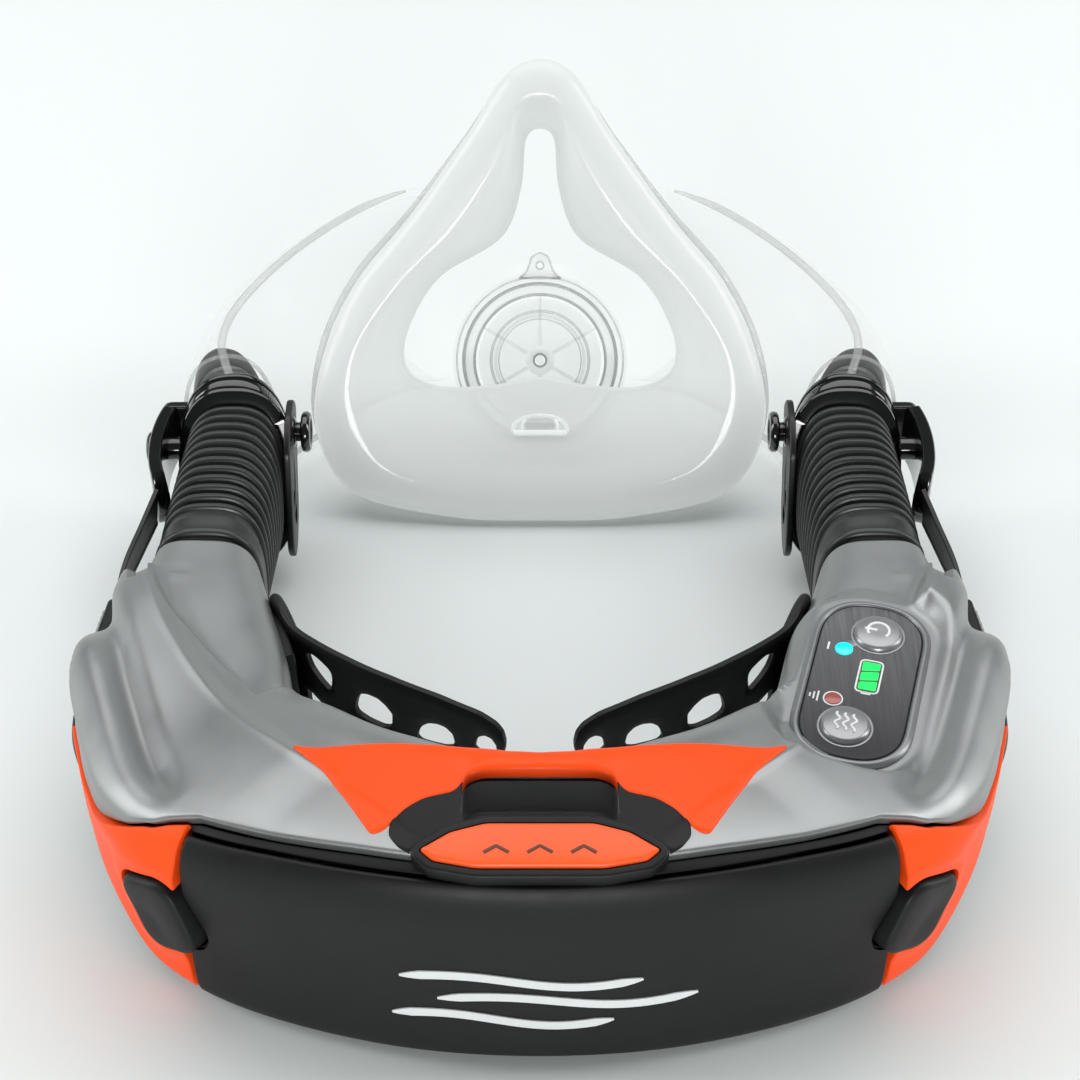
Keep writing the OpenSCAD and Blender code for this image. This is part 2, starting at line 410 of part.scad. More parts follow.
// outlines from nose to chin; the other half mirrors them
lip = [[0, 110, 9], [4, 107, 9], [5.5, 93, 10], [11, 80, 10.5], [28, 69, 11], [37, 54, 10.5], [37, 43.5, 9], [28, 38.5, 8.5], [13, 38.8, 9], [0, 41, 9.5]];
mid = [[0, 115, 3], [6, 112, 3], [9, 97, 4], [18, 81, 4.5], [34, 68, 4.5], [44, 52, 3.5], [45, 38, 3], [36, 27, 3], [18, 24, 3.5], [0, 24, 4]];
crest = [[0, 121, 0.5], [8, 117.5, 0.5], [14, 102, 0.5], [25, 84, 0.5], [40, 68, 0.5], [52, 50, 0], [54, 32, 0], [45, 16, 0], [22, 9, 0], [0, 8, 0]];
sil = [[0, 128.5, 5], [13, 124, 5], [22, 109, 5], [35, 88, 5], [50, 68.5, 5], [60, 48, 5], [62.5, 27, 5], [52.5, 9, 4.5], [25, 2, 4], [0, 1, 4]];
wal = [[0, 124, 13], [11.5, 119, 13], [20.5, 105, 13], [33.5, 85.5, 13], [48, 67, 13], [57.5, 48, 13], [59.5, 29, 13], [50.5, 13.5, 12], [24.5, 8.5, 11.5], [0, 7.6, 11]];
wen = [[0, 115, 20], [9.8, 111, 20], [18.5, 99.5, 20], [31, 82, 20], [44.5, 65, 20], [53.5, 48, 20], [55.2, 32, 19], [47, 18, 18], [22.5, 13, 17.5], [0, 12, 17]];
function lc(L, i) = let (k = ((i % 18) + 18) % 18, p = k <= 9 ? L[k] : L[18 - k]) [(k <= 9 ? 1 : -1) * p[0] * sw, p[1], p[2]];
function lp(L, q) = let (i = floor(q), f = q - i) cr(lc(L, i - 1), lc(L, i), lc(L, i + 1), lc(L, i + 2), f);
// point on a surface through a list of outlines, w from 0 to len - 1
function lev(Ls, q, w) = let (n = len(Ls), i = min(max(floor(w), 0), n - 2), f = w - i)
  cr(i > 0 ? lp(Ls[i - 1], q) : 2 * lp(Ls[0], q) - lp(Ls[1], q), lp(Ls[i], q), lp(Ls[i + 1], q), i < n - 2 ? lp(Ls[i + 2], q) : 2 * lp(Ls[n - 1], q) - lp(Ls[n - 2], q), f);
function levn(Ls, q, w) = let (d = 0.06, a = lev(Ls, q + d, w) - lev(Ls, q - d, w), b = lev(Ls, q, w + d) - lev(Ls, q, w - d)) unit(cross(a, b));
seal_l = [lip, mid, crest, sil, wal, wen];
module face_seal() place() color([0.85, 0.87, 0.88, 0.6])
  tube(11, 54, function (u, v, k) M(lev(seal_l, 18 * v, 5 * u) + (k == 0 ? 0 : seal_t) * levn(seal_l, 18 * v, 5 * u)));

// clear shell: outlines from its rim to the exhale valve boss
vc = [0, 41.3, 32.2]; va = -101.4 - mask_lean;
r0 = [[0, 125.6, 10.8], [13, 121, 10.8], [22.8, 107.2, 10.8], [36, 87.8, 10.8], [51, 69.6, 10.8], [61, 49.4, 10.8], [63.2, 28.6, 10.8], [54, 11, 9.8], [26, 5.2, 9.4], [0, 4.4, 9]];
r1 = [[0, 120, 20.5], [12, 116, 20.5], [21.2, 103.4, 20.5], [34.4, 84.8, 20.5], [48.4, 67.8, 20.5], [57.6, 49.2, 20.5], [59.4, 30.6, 19.5], [50.6, 14.8, 18.5], [24.6, 9.8, 18], [0, 8.8, 17.5]];
r2 = [[0, 107, 31], [9.5, 103.5, 31], [17.5, 93, 31], [28, 79, 30.5], [38, 65, 30], [46, 51, 28.5], [47.5, 38, 26.5], [41, 25, 24.6], [21.5, 17.4, 23.6], [0, 15.8, 23]];
r3 = [for (k = [0:9]) [26.4 * sin(20 * k), vc[1] + 26.4 * cos(20 * k) * 0.98, vc[2] + 26.4 * cos(20 * k) * 0.198 + 0.4]];
shell_l = [r0, r1, r2, r3];
module bowl(o, w0, w1) loft(8, 54, function (u, v) v < 0
  ? (u < 0.5 ? M([0, 48, 10 + 9 * w0 - 0.2 * o]) : M(vc - [0, 0, o]))
  : M(lev(shell_l, 18 * v, w0 + (w1 - w0) * u) + o * levn(shell_l, 18 * v, w0 + (w1 - w0) * u)));
// side duct: top point, bottom point, half width, from the port inwards
wg = [[[83.2, 8.8, 50.4], [81, -5.4, 6.4], 13], [[86, 19, 54.5], [81.5, 5, 5.5], 12.6], [[82.5, 31, 58], [78.5, 17, 5.5], 12], [[72.5, 46.5, 61], [69, 32, 7], 11],
  [[59.5, 57.5, 64], [56, 43, 10], 10], [[46, 63, 67], [43, 49, 14], 9], [[32, 60, 66], [29, 46, 19], 8], [[20, 52, 62], [18, 40, 24], 7]];
function wgi(i, k) = let (n = len(wg) - 1) i < 0 ? 2 * wg[0][k] - wg[1][k] : i > n ? 2 * wg[n][k] - wg[n - 1][k] : wg[i][k];
function wgv(t, k) = let (i = min(max(floor(t), 0), len(wg) - 2), f = t - i) cr(wgi(i - 1, k), wgi(i, k), wgi(i + 1, k), wgi(i + 2, k), f);
function wgc(t) = (wgv(t, 0) + wgv(t, 1)) / 2;
function wing_p(t, a, o) = let (T = wgv(t, 0), B = wgv(t, 1), c = (T + B) / 2, d = wgc(t + 0.1) - wgc(t - 0.1), n = unit([d[1], -d[0], 0]),
    up = unit(T - B), h = norm(T - B) / 2 - o, w = wgv(t, 2) - o) c + n * w * sp(cos(a), 0.8) + up * h * sp(sin(a), 0.8);
module wing(o, t0, t1) loft(14, 24, function (u, v) let (t = t0 + (t1 - t0) * u) v < 0 ? wgc(t) : wing_p(t, 360 * v, o));
module valve_frame() translate(M(vc)) rotate([va, 0, 0]) children();
module mask_shell() place() color([0.9, 0.93, 0.94, 0.35]) difference() {
  union() {
    bowl(0, 0, 3);
    for (s = [-1, 1]) both(s) wing(0, 0, 7);
    valve_frame() translate([0, 0, -2]) cylinder(r = valve_r + 3.4, h = 5, $fn = 96);
  }
  bowl(shell_t, -0.25, 3);
  for (s = [-1, 1]) both(s) wing(shell_t, -0.3, 7);
  valve_frame() translate([0, 0, -8]) cylinder(r = valve_r, h = 30, $fn = 96);
}
module exhale_seat() place() color([0.88, 0.9, 0.91, 0.5]) valve_frame() translate([0, 0, -1.6]) difference() {
  cylinder(r = valve_r - 0.1, h = 3.4, $fn = 96);
  difference() {
    translate([0, 0, -1]) cylinder(r = valve_r - 5.6, h = 10, $fn = 96);
    translate([0, 0, -2]) cylinder(r = 4.2, h = 12, $fn = 48);
    for (i = [0:5]) rotate([0, 0, 60 * i + 30]) translate([0, -0.7, -2]) cube([valve_r, 1.4, 12]);
  }
  translate([0, 0, -2]) cylinder(r = 1.4, h = 12, $fn = 32);
}
module exhale_flap() place() color([0.75, 0.78, 0.8, 0.7]) valve_frame() {
  translate([0, 0, 2.1]) cylinder(r = valve_r - 4.2, h = 0.7, $fn = 96);
  translate([0, 0, -2.4]) cylinder(r = 1.2, h = 4.6, $fn = 32);
}
module exhale_cover() place() color([0.9, 0.93, 0.94, 0.45]) valve_frame() difference() {
  translate([0, 0, 3.2]) rotate_extrude($fn = 96) polygon([[0, 5.2], [0, 6.8], [14, 6.6], [20, 5.4], [24, 3], [25.2, 0], [valve_r + 1, 0], [valve_r, 2.2], [18.6, 4], [13, 5]]);
  for (i = [-1, 0, 1]) rotate([0, 0, -90 + 38 * i]) translate([20, -5, 4]) cube([10, 10, 3]);
}
// hose collar with its inner flange, harness stud and strap bracket
module hose_collar(side) place() color([0.04, 0.04, 0.045]) both(side) {
  // ring from the hose to the port of the clear shell
  tube(4, 30, function (u, v, k) let (a = 360 * v, p = hose_p(1.012, a, k == 0 ? 1.8 : -3), q = wing_p(-0.03, a, k == 0 ? -1.4 : 3.9)) p + (q - p) * u);
  // sleeve that plugs into the port
  tube(3, 30, function (u, v, k) wing_p(-0.04 + 0.6 * u, 360 * v, 2.7 + 1.3 * k));
  // flange on the neck side that carries the harness stud
  slab(6, 1, function (u, v, k) let (z = 10 + 36 * u, y = -8 + (z - 28) * 0.42) [67.7 - 1.5 * k, y + (v - 0.5) * (14 + 8 * u) + 1, z]);
}
module hose_collar_left() hose_collar(-1);
module hose_collar_right() hose_collar(1);
module harness_stud(side) place() color([0.04, 0.04, 0.04]) both(side) translate([66.1, -1, 40]) rotate([0, -90, 0]) {
  cylinder(r = 2.6, h = 2.4, $fn = 48);
  translate([0, 0, 2.4]) cylinder(r = stud_head_r, h = 2.4, $fn = 64);
}
module harness_stud_left() harness_stud(-1);
module harness_stud_right() harness_stud(1);
module strap_bracket(side) place() color([0.05, 0.05, 0.05]) both(side) {
  slab(12, 2, function (u, v, k) let (a = -62 + 118 * u) [96.4 + 6.5 * cos(a) - 2.2 * k, -9 + 19 * sin(a), 36 + (v - 0.5) * 16]);
  translate([98.3, -3, 36]) rotate([0, 90, 0]) cylinder(r = 4, h = 5.4, $fn = 48);
}
module strap_bracket_left() strap_bracket(-1);
module strap_bracket_right() strap_bracket(1);
module port_seals() place() color([0.08, 0.08, 0.08]) for (s = [-1, 1]) both(s) for (d = [0.12, 0.36])
  tube(1, 24, function (u, v, k) wing_p(d + 0.12 * u, 360 * v, 2.15 + 0.5 * k));

upper_housing();
lower_housing();
filter_bay_frame();
side_guard_left();
side_guard_right();
top_trim();
badge_plinth();
release_button();
keypad_bezel();
keypad_panel();
power_button();
test_button();
power_lens();
battery_lens();
filter_lens();
pad_anchor_left();
pad_anchor_right();
neck_pad_left();
neck_pad_right();
hose_cuff_left();
hose_cuff_right();
bellows_left();
bellows_right();
strap_left();
strap_right();
strap_buckle_left();
strap_buckle_right();
battery_cells();
battery_holder();
main_board();
volute_lower();
volute_upper();
motor_stator();
motor_bearings();
rotor_shaft();
impeller();
cross_duct();
charge_socket();
case_screws();
base_feet();
filter_cover();
filter_frame();
filter_media();
filter_seal();
cover_latch_left();
cover_latch_right();
mask_shell();
face_seal();
hose_collar_left();
hose_collar_right();
harness_stud_left();
harness_stud_right();
strap_bracket_left();
strap_bracket_right();
port_seals();
exhale_seat();
exhale_cover();
exhale_flap();
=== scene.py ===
import math
import bpy
import numpy as np
from mathutils import Vector, Matrix, geometry


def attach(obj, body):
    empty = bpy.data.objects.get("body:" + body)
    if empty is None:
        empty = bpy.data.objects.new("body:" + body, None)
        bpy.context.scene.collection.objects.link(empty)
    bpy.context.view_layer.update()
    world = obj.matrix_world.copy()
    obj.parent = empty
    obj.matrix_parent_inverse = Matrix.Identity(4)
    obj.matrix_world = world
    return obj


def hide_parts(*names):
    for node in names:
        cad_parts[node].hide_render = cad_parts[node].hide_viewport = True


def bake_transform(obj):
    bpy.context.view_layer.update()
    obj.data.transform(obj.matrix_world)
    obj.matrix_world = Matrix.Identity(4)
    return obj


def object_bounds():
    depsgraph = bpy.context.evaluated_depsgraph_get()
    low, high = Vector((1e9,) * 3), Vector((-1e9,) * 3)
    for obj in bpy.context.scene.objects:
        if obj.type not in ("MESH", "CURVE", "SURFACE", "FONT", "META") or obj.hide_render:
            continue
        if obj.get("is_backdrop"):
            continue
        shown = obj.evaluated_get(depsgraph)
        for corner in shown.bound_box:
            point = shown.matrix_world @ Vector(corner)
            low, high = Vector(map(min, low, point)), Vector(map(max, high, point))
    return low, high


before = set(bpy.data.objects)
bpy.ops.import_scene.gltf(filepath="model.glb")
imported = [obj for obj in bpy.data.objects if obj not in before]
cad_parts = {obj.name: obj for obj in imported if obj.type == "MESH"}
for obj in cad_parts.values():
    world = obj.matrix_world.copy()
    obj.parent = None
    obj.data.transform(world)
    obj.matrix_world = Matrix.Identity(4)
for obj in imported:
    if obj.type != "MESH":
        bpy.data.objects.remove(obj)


def plain(o):
    if isinstance(o, dict):
        return {str(k): plain(v) for k, v in o.items()}
    if isinstance(o, (str, int, bool)) or o is None:
        return o
    if isinstance(o, float):
        return o
    try:
        return [plain(v) for v in o]
    except TypeError:
        return float(o)


SIZE = {"cad": plain(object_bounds())}
YS = 48.6
pi = math.pi


# ------------------------------------------------------------------ maths
def cr(p0, p1, p2, p3, t):
    return 0.5 * (2 * p1 + (p2 - p0) * t + (2 * p0 - 5 * p1 + 4 * p2 - p3) * t * t + (3 * p1 - p0 - 3 * p2 + p3) * t * t * t)


def sm(a, b, x):
    t = np.clip((np.asarray(x, float) - a) / (b - a), 0, 1)
    return t * t * (3 - 2 * t)


def lk(x, tab):
    tab = np.asarray(tab, float)
    return np.interp(x, tab[:, 0], tab[:, 1])


def sp(c, e):
    return np.sign(c) * np.abs(c) ** e


def unit(v):
    return v / np.maximum(np.linalg.norm(v, axis=-1, keepdims=True), 1e-12)


HW = 107.0
ST = np.array([[0, -174, 0, -135, 1.5, 60, .36], [39, -170, 30, -126, 1.5, 59.5, .36], [76, -157, 46, -114, 2, 56, .38],
               [HW - 9, -136, 56, -104, 4, 51.5, .42], [HW, -103, 60, -88, 7, 50, .46], [HW - 4.5, -76, 65, -71, 8.5, 49.5, .52],
               [HW - 9.5, -53, 70, -54, 8, 48.5, .58]], float)


def sv(i):
    k = abs(i)
    r = (ST[k] if k <= 6 else 2 * ST[6] - ST[5]).copy()
    if i < 0:
        r[0] *= -1
        r[2] *= -1
    return r


SVT = np.array([sv(i) for i in range(-8, 9)])


def stn(t):
    t = np.asarray(t, float)
    i = np.clip(np.floor(t).astype(int), -6, 5)
    f = (t - i)[..., None]
    k = i + 8
    return cr(SVT[k - 1], SVT[k], SVT[k + 1], SVT[k + 2], f)


def sec(t, phi, o):
    """Point on the housing: phi is the direction in the squared section, o the depth below the skin."""
    v = stn(t)
    e = v[..., 6]
    O, I = v[..., 0:2], v[..., 2:4]
    C = (O + I) / 2
    L = np.linalg.norm(O - I, axis=-1)
    n = (O - I) / L[..., None]
    c, s = np.cos(phi), np.sin(phi)
    e = e * np.where((c > 0) & (s < 0), 1 - 0.5 * sm(3.4, 2.3, np.abs(np.asarray(t, float))), 1.0)
    r = (np.abs(c) ** (2 / e) + np.abs(s) ** (2 / e)) ** (-e / 2)
    w = (L / 2 - o) * r * c
    h = ((v[..., 5] - v[..., 4]) / 2 - o) * r * s
    return np.stack([C[..., 0] + n[..., 0] * w, C[..., 1] + n[..., 1] * w, (v[..., 4] + v[..., 5]) / 2 + h], -1)


def px(t, f, d):
    """phi on the top half where x across the section is fraction f of the half width, plus d mm."""
    v = stn(t)
    L = np.linalg.norm(v[..., 0:2] - v[..., 2:4], axis=-1)
    g = np.clip(f + 2 * d / L, -1, 1)
    e = v[..., 6]
    return np.arctan2((1 - np.abs(g) ** (2 / e)) ** (e / 2), g)


def pz(t, z):
    v = stn(t)
    g = np.clip((2 * z - v[..., 4] - v[..., 5]) / (v[..., 5] - v[..., 4]), -1, 1)
    e = v[..., 6]
    return np.arctan2(g, (1 - np.abs(g) ** (2 / e)) ** (e / 2))


def pa(t, a):
    e = stn(t)[..., 6]
    a = np.radians(a)
    p = np.arctan2(sp(np.sin(a), e), sp(np.cos(a), e))
    return np.where(p < -1e-9, p + 2 * pi, p)


LZ = [[2.35, 51.2], [2.7, 45.5], [3, 39.6], [3.5, 35.1], [4, 34], [4.3, 32.5], [4.6, 28], [5, 22], [6, 17.4]]
BZ = [[2.2, 5.4], [2.5, 8], [2.8, 15], [3.1, 21], [3.5, 27], [4, 32.2], [4.1, 33.2], [4.3, 32.5], [4.6, 28], [5, 22], [6, 17.4]]


def smooth_tab(tab, lo, hi, width):
    xs = np.linspace(lo, hi, 400)
    ys = lk(xs, tab)
    k = max(3, int(width / (hi - lo) * 400)) | 1
    ker = np.hanning(k + 2)[1:-1]
    ker /= ker.sum()
    pad = np.concatenate([2 * ys[0] - ys[1:k // 2 + 1][::-1], ys, 2 * ys[-1] - ys[-k // 2:-1][::-1]])[: 400 + 2 * (k // 2)]
    return np.stack([xs, np.convolve(pad, ker, "valid")[:400]], -1)


LZS = smooth_tab(LZ, 2.2, 6, 0.45)
BZS = smooth_tab(BZ, 2.2, 6, 0.4)


def lip(t, d):
    a = np.abs(t)
    x = px(t, lk(a, [[0, .655], [1, .668], [2, .731], [2.35, .872]]), d)
    z = pz(t, lk(a, LZS) - d)
    w = sm(2.2, 2.5, a)
    return x * (1 - w) + z * w


def cov(t, d):
    return px(t, lk(np.abs(t), [[0, .8], [1.5, .8], [2.3, .84]]), d)


def bot(t, d):
    a = np.abs(t)
    x = -px(t, lk(a, [[0, .865], [2.2, .87]]), d)
    z = pz(t, lk(a, BZS) + d)
    w = sm(2.1, 2.4, a)
    return x * (1 - w) + z * w


HT = [[3.2, 0], [3.3, 0], [3.7, 1.0], [4.0, 2.4], [4.2, 3.0], [4.35, 2.5], [4.5, 1.5], [4.65, .5], [4.76, 0], [5, 0]]


def hip(t, phi):
    p = np.degrees(np.where(phi > pi, phi - 2 * pi, phi))
    return lk(np.abs(t), HT) * lk(p, [[-80, 0], [-60, .5], [-35, 1], [15, 1], [38, .7], [50, .3], [62, 0]])


# ------------------------------------------------------------------ mesh helpers
COL = bpy.context.scene.collection


def put(name, V, F, mat, body=None, smooth=True, mirror_x=False, raw=False):
    V = np.asarray(V, float)
    if mirror_x:
        V = V * [-1, 1, 1]
        F = [tuple(reversed(f)) for f in F]
    if not raw:
        V = (V + [0, YS, 0]) * 0.001
    me = bpy.data.meshes.new(name)
    me.from_pydata(V.tolist(), [], [tuple(int(i) for i in f) for f in F])
    me.validate()
    me.update()
    if smooth:
        me.polygons.foreach_set("use_smooth", [True] * len(me.polygons))
    ob = bpy.data.objects.new(name, me)
    COL.objects.link(ob)
    if mat is not None:
        me.materials.append(mat)
    if body:
        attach(ob, body)
    return ob


def grid_faces(nu, nv, base=0, closed=False, flip=False):
    F = []
    m = nv if not closed else nv
    for i in range(nu - 1):
        for j in range(nv if closed else nv - 1):
            a, b = base + i * m + j, base + i * m + (j + 1) % m
            c, d = b + m, a + m
            F.append((a, d, c, b) if not flip else (a, b, c, d))
    return F


def normals(P, closed=False):
    du = np.gradient(P, axis=0)
    if closed:
        dv = (np.roll(P, -1, 1) - np.roll(P, 1, 1)) / 2
    else:
        dv = np.gradient(P, axis=1)
    return unit(np.cross(du, dv))


def rounding(s, r):
    s = np.clip(s, 0, r)
    return r - np.sqrt(np.maximum(r * r - (r - s) ** 2, 0))


def edge_steps(L, r, n):
    e = np.array([0, .06, .2, .45, .72, 1.0]) * r
    return np.concatenate([e, np.linspace(r, L - r, n + 2)[1:-1], (L - e)[::-1]])


def strip(ts, f0, f1, nv, r, o=None, dense=420):
    """Grid of points on the housing skin between two section angles, evenly spaced by arc length with fine rows at both edges."""
    out, ph, d0, d1 = [], [], [], []
    for t in ts:
        a, b = float(f0(t)), float(f1(t))
        q = np.linspace(a, b, dense)
        tt = np.full(dense, t)
        oo = np.zeros(dense) if o is None else o(tt, q)
        P = sec(tt, q, oo)
        S = np.concatenate([[0], np.cumsum(np.linalg.norm(np.diff(P, axis=0), axis=1))])
        tg = edge_steps(S[-1], min(r, S[-1] * .3), nv)
        qq = np.interp(tg, S, q)
        out.append(np.stack([np.interp(tg, S, P[:, k]) for k in range(3)], -1))
        ph.append(qq)
        d0.append(tg)
        d1.append(S[-1] - tg)
    return np.array(out), np.array(ph), np.array(d0), np.array(d1)


def outward(P, N, ref):
    m = P.reshape(-1, 3) - np.asarray(ref)
    return N if (m * N.reshape(-1, 3)).sum() > 0 else -N


def solid_grid(name, P, N, th, mat, body, flip=None):
    """Closed wall: P is the outer face, th the wall behind it."""
    nu, nv = P.shape[:2]
    Q = P - N * th
    V = np.concatenate([P.reshape(-1, 3), Q.reshape(-1, 3)])
    n0 = nu * nv
    du = P[1:, :-1] - P[:-1, :-1]
    dv = P[:-1, 1:] - P[:-1, :-1]
    s = (np.cross(du, dv) * N[:-1, :-1]).sum()
    fl = s < 0
    F = grid_faces(nu, nv, 0, flip=not fl) if False else []
    F += [(a, d, c, b) if not fl else (a, b, c, d) for (a, d, c, b) in grid_faces(nu, nv)]
    F += [tuple(x + n0 for x in reversed(f)) for f in list(F)]
    idx = lambda i, j: i * nv + j
    ring = [idx(i, 0) for i in range(nu)] + [idx(nu - 1, j) for j in range(1, nv)] + [idx(i, nv - 1) for i in range(nu - 2, -1, -1)] + [idx(0, j) for j in range(nv - 2, 0, -1)]
    m = len(ring)
    for k in range(m):
        a, b = ring[k], ring[(k + 1) % m]
        F.append((b, a, a + n0, b + n0) if not fl else (a, b, b + n0, a + n0))
    ob = put(name, V, F, mat, body)
    fix_normals(ob)
    return ob


def fix_normals(ob):
    import bmesh
    bm = bmesh.new()
    bm.from_mesh(ob.data)
    bmesh.ops.recalc_face_normals(bm, faces=bm.faces)
    bm.to_mesh(ob.data)
    bm.free()


def extent(me):
    a = np.empty(len(me.vertices) * 3)
    me.vertices.foreach_get("co", a)
    a = a.reshape(-1, 3)
    return a.max(0) - a.min(0) if len(a) else np.zeros(3)


def bool_cut(ob, cutters, keep=False, guard=False):
    """Cut by each solid; with guard on, a cut that would lose most of the piece is tried again a hair lower."""
    for c in cutters:
        ref = ob.data.copy() if guard else None
        for k in range(4 if guard else 1):
            if k:
                ob.data = ref.copy()
                c.location.z -= 0.00003 * k
                c.location.y += 0.00002 * k
                bpy.context.view_layer.update()
            m = ob.modifiers.new("cut", "BOOLEAN")
            m.operation = "DIFFERENCE"
            m.object = c
            m.solver = "EXACT"
            m.use_self = k == 3
            apply_all(ob)
            if not guard or (len(ob.data.polygons) > 0.7 * len(ref.polygons) and (extent(ob.data) > 0.97 * extent(ref)).all()):
                break
            print("cut tried again:", ob.name, c.name, len(ref.polygons), len(ob.data.polygons))
        else:
            ob.data = ref.copy()
    if not keep:
        for c in cutters:
            bpy.data.objects.remove(c, do_unlink=True)


def apply_all(ob):
    dg = bpy.context.evaluated_depsgraph_get()
    me = bpy.data.meshes.new_from_object(ob.evaluated_get(dg))
    ob.modifiers.clear()
    old = ob.data
    ob.data = me
    bpy.data.meshes.remove(old)


def bevel(ob, w, seg=3, angle=40):
    m = ob.modifiers.new("bev", "BEVEL")
    m.width = w * 0.001
    m.segments = seg
    m.limit_method = "ANGLE"
    m.angle_limit = math.radians(angle)
    m.harden_normals = False
    apply_all(ob)


def sharp(ob, deg=35):
    """Smooth shading with creases kept where faces meet at more than deg."""
    me = ob.data
    me.polygons.foreach_set("use_smooth", [True] * len(me.polygons))
    import bmesh
    bm = bmesh.new()
    bm.from_mesh(me)
    lim = math.radians(deg)
    for e in bm.edges:
        if len(e.link_faces) == 2:
            try:
                e.smooth = e.calc_face_angle() < lim
            except ValueError:
                e.smooth = False
    bm.to_mesh(me)
    bm.free()


def pill(l, w, r, n=14):
    """Rounded rectangle, w along x and l along y, counter-clockwise."""
    pts = []
    for cx, cy, a0 in ((w / 2 - r, l / 2 - r, 0), (-w / 2 + r, l / 2 - r, 90), (-w / 2 + r, -l / 2 + r, 180), (w / 2 - r, -l / 2 + r, 270)):
        for k in range(n + 1):
            a = math.radians(a0 + 90 * k / n)
            pts.append((cx + r * math.cos(a), cy + r * math.sin(a)))
    return resample(np.array(pts), max(60, 4 * n + 20))


def circle(r, n=64):
    a = np.linspace(0, 2 * pi, n, endpoint=False)
    return np.stack([r * np.cos(a), r * np.sin(a)], -1)


def resample(P, n, closed=True):
    Q = np.concatenate([P, P[:1]]) if closed else P
    S = np.concatenate([[0], np.cumsum(np.linalg.norm(np.diff(Q, axis=0), axis=1))])
    t = np.linspace(0, S[-1], n + 1)[:-1] if closed else np.linspace(0, S[-1], n)
    return np.stack([np.interp(t, S, Q[:, k]) for k in range(Q.shape[1])], -1)


def soften(P, k=3, times=2):
    for _ in range(times):
        P = (np.roll(P, 1, 0) + P * 2 + np.roll(P, -1, 0)) / 4
    return P


def onorm(P):
    d = np.roll(P, -1, 0) - np.roll(P, 1, 0)
    n = np.stack([d[:, 1], -d[:, 0]], -1)
    n = unit(n)
    area = (P[:, 0] * np.roll(P[:, 1], -1) - np.roll(P[:, 0], -1) * P[:, 1]).sum()
    return n if area > 0 else -n


def frame_pts(Q, fr):
    """Q in a local frame given as origin and three axes."""
    o, X, Y, Z = [np.asarray(v, float) for v in fr]
    Q = np.asarray(Q, float)
    return o + Q[..., 0:1] * X + Q[..., 1:2] * Y + Q[..., 2:3] * Z


def pillow(name, P, z0, z1, r, mat, body, fr, crown=0.0, rb=0.0, mirror_x=False, top=None, hole=None):
    """Solid with outline P from z0 to z1: rounded top edge of radius r, and a crowned or shaped top."""
    n = onorm(P)
    c = P.mean(0)
    rings = []
    k = 6
    if rb > 0:
        for i in range(k + 1):
            a = pi / 2 * i / k
            rings.append((P - n * rb * (1 - math.sin(a)), z0 + rb * (1 - math.cos(a))))
    else:
        rings.append((P, z0))
    for i in range(k + 1):
        a = pi / 2 * i / k
        rings.append((P - n * r * (1 - math.cos(a)), z1 - r + r * math.sin(a)))
    base = P - n * r
    for f in (0.92, 0.82, 0.7, 0.56, 0.42, 0.28, 0.14):
        rings.append((c + (base - c) * f, z1 + crown * (1 - f * f)))
    m = len(P)
    V = []
    for q, z in rings:
        zz = np.full(m, z)
        V.append(np.concatenate([q, zz[:, None]], 1))
    V = np.concatenate(V + [np.array([[c[0], c[1], z1 + crown]]), np.array([[c[0], c[1], z0]])])
    if top is not None:
        w = sm(z1 - r * 0.6, z1 - r * 0.1, V[:, 2])
        V[:, 2] += w * top(V[:, 0], V[:, 1])
    F = []
    for i in range(len(rings) - 1):
        for j in range(m):
            a, b = i * m + j, i * m + (j + 1) % m
            F.append((a, b, b + m, a + m))
    tip, bt = len(V) - 2, len(V) - 1
    L = (len(rings) - 1) * m
    for j in range(m):
        F.append((L + j, L + (j + 1) % m, tip))
        F.append(((j + 1) % m, j, bt))
    ob = put(name, frame_pts(V, fr), F, mat, None, mirror_x=mirror_x)
    fix_normals(ob)
    sharp(ob, 50)
    if body:
        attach(ob, body)
    return ob


def sweep(name, path, N, B, prof, mat, body, closed=True, mirror_x=False):
    """Sweeps a closed profile (list of (n, b) offsets) along path with normals N and binormals B."""
    prof = np.asarray(prof, float)
    m = len(prof)
    V = (path[:, None] + N[:, None] * prof[None, :, 0:1] + B[:, None] * prof[None, :, 1:2]).reshape(-1, 3)
    n = len(path)
    F = []
    for i in range(n if closed else n - 1):
        for j in range(m):
            a, b = i * m + j, i * m + (j + 1) % m
            c, d = ((i + 1) % n) * m + (j + 1) % m, ((i + 1) % n) * m + j
            F.append((a, b, c, d))
    if not closed:
        F.append(tuple(range(m))[::-1])
        F.append(tuple((n - 1) * m + k for k in range(m)))
    ob = put(name, V, F, mat, None, mirror_x=mirror_x)
    fix_normals(ob)
    sharp(ob, 50)
    if body:
        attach(ob, body)
    return ob


def ring(name, P, prof, mat, body, fr, mirror_x=False):
    """Sweeps a profile of (outward, z) round the flat outline P in a local frame."""
    n = onorm(P)
    path = frame_pts(np.concatenate([P, np.zeros((len(P), 1))], 1), fr)
    o, X, Y, Z = [np.asarray(v, float) for v in fr]
    N = n[:, 0:1] * X + n[:, 1:2] * Y
    B = np.tile(Z, (len(P), 1))
    return sweep(name, path, N, B, prof, mat, body, True, mirror_x)


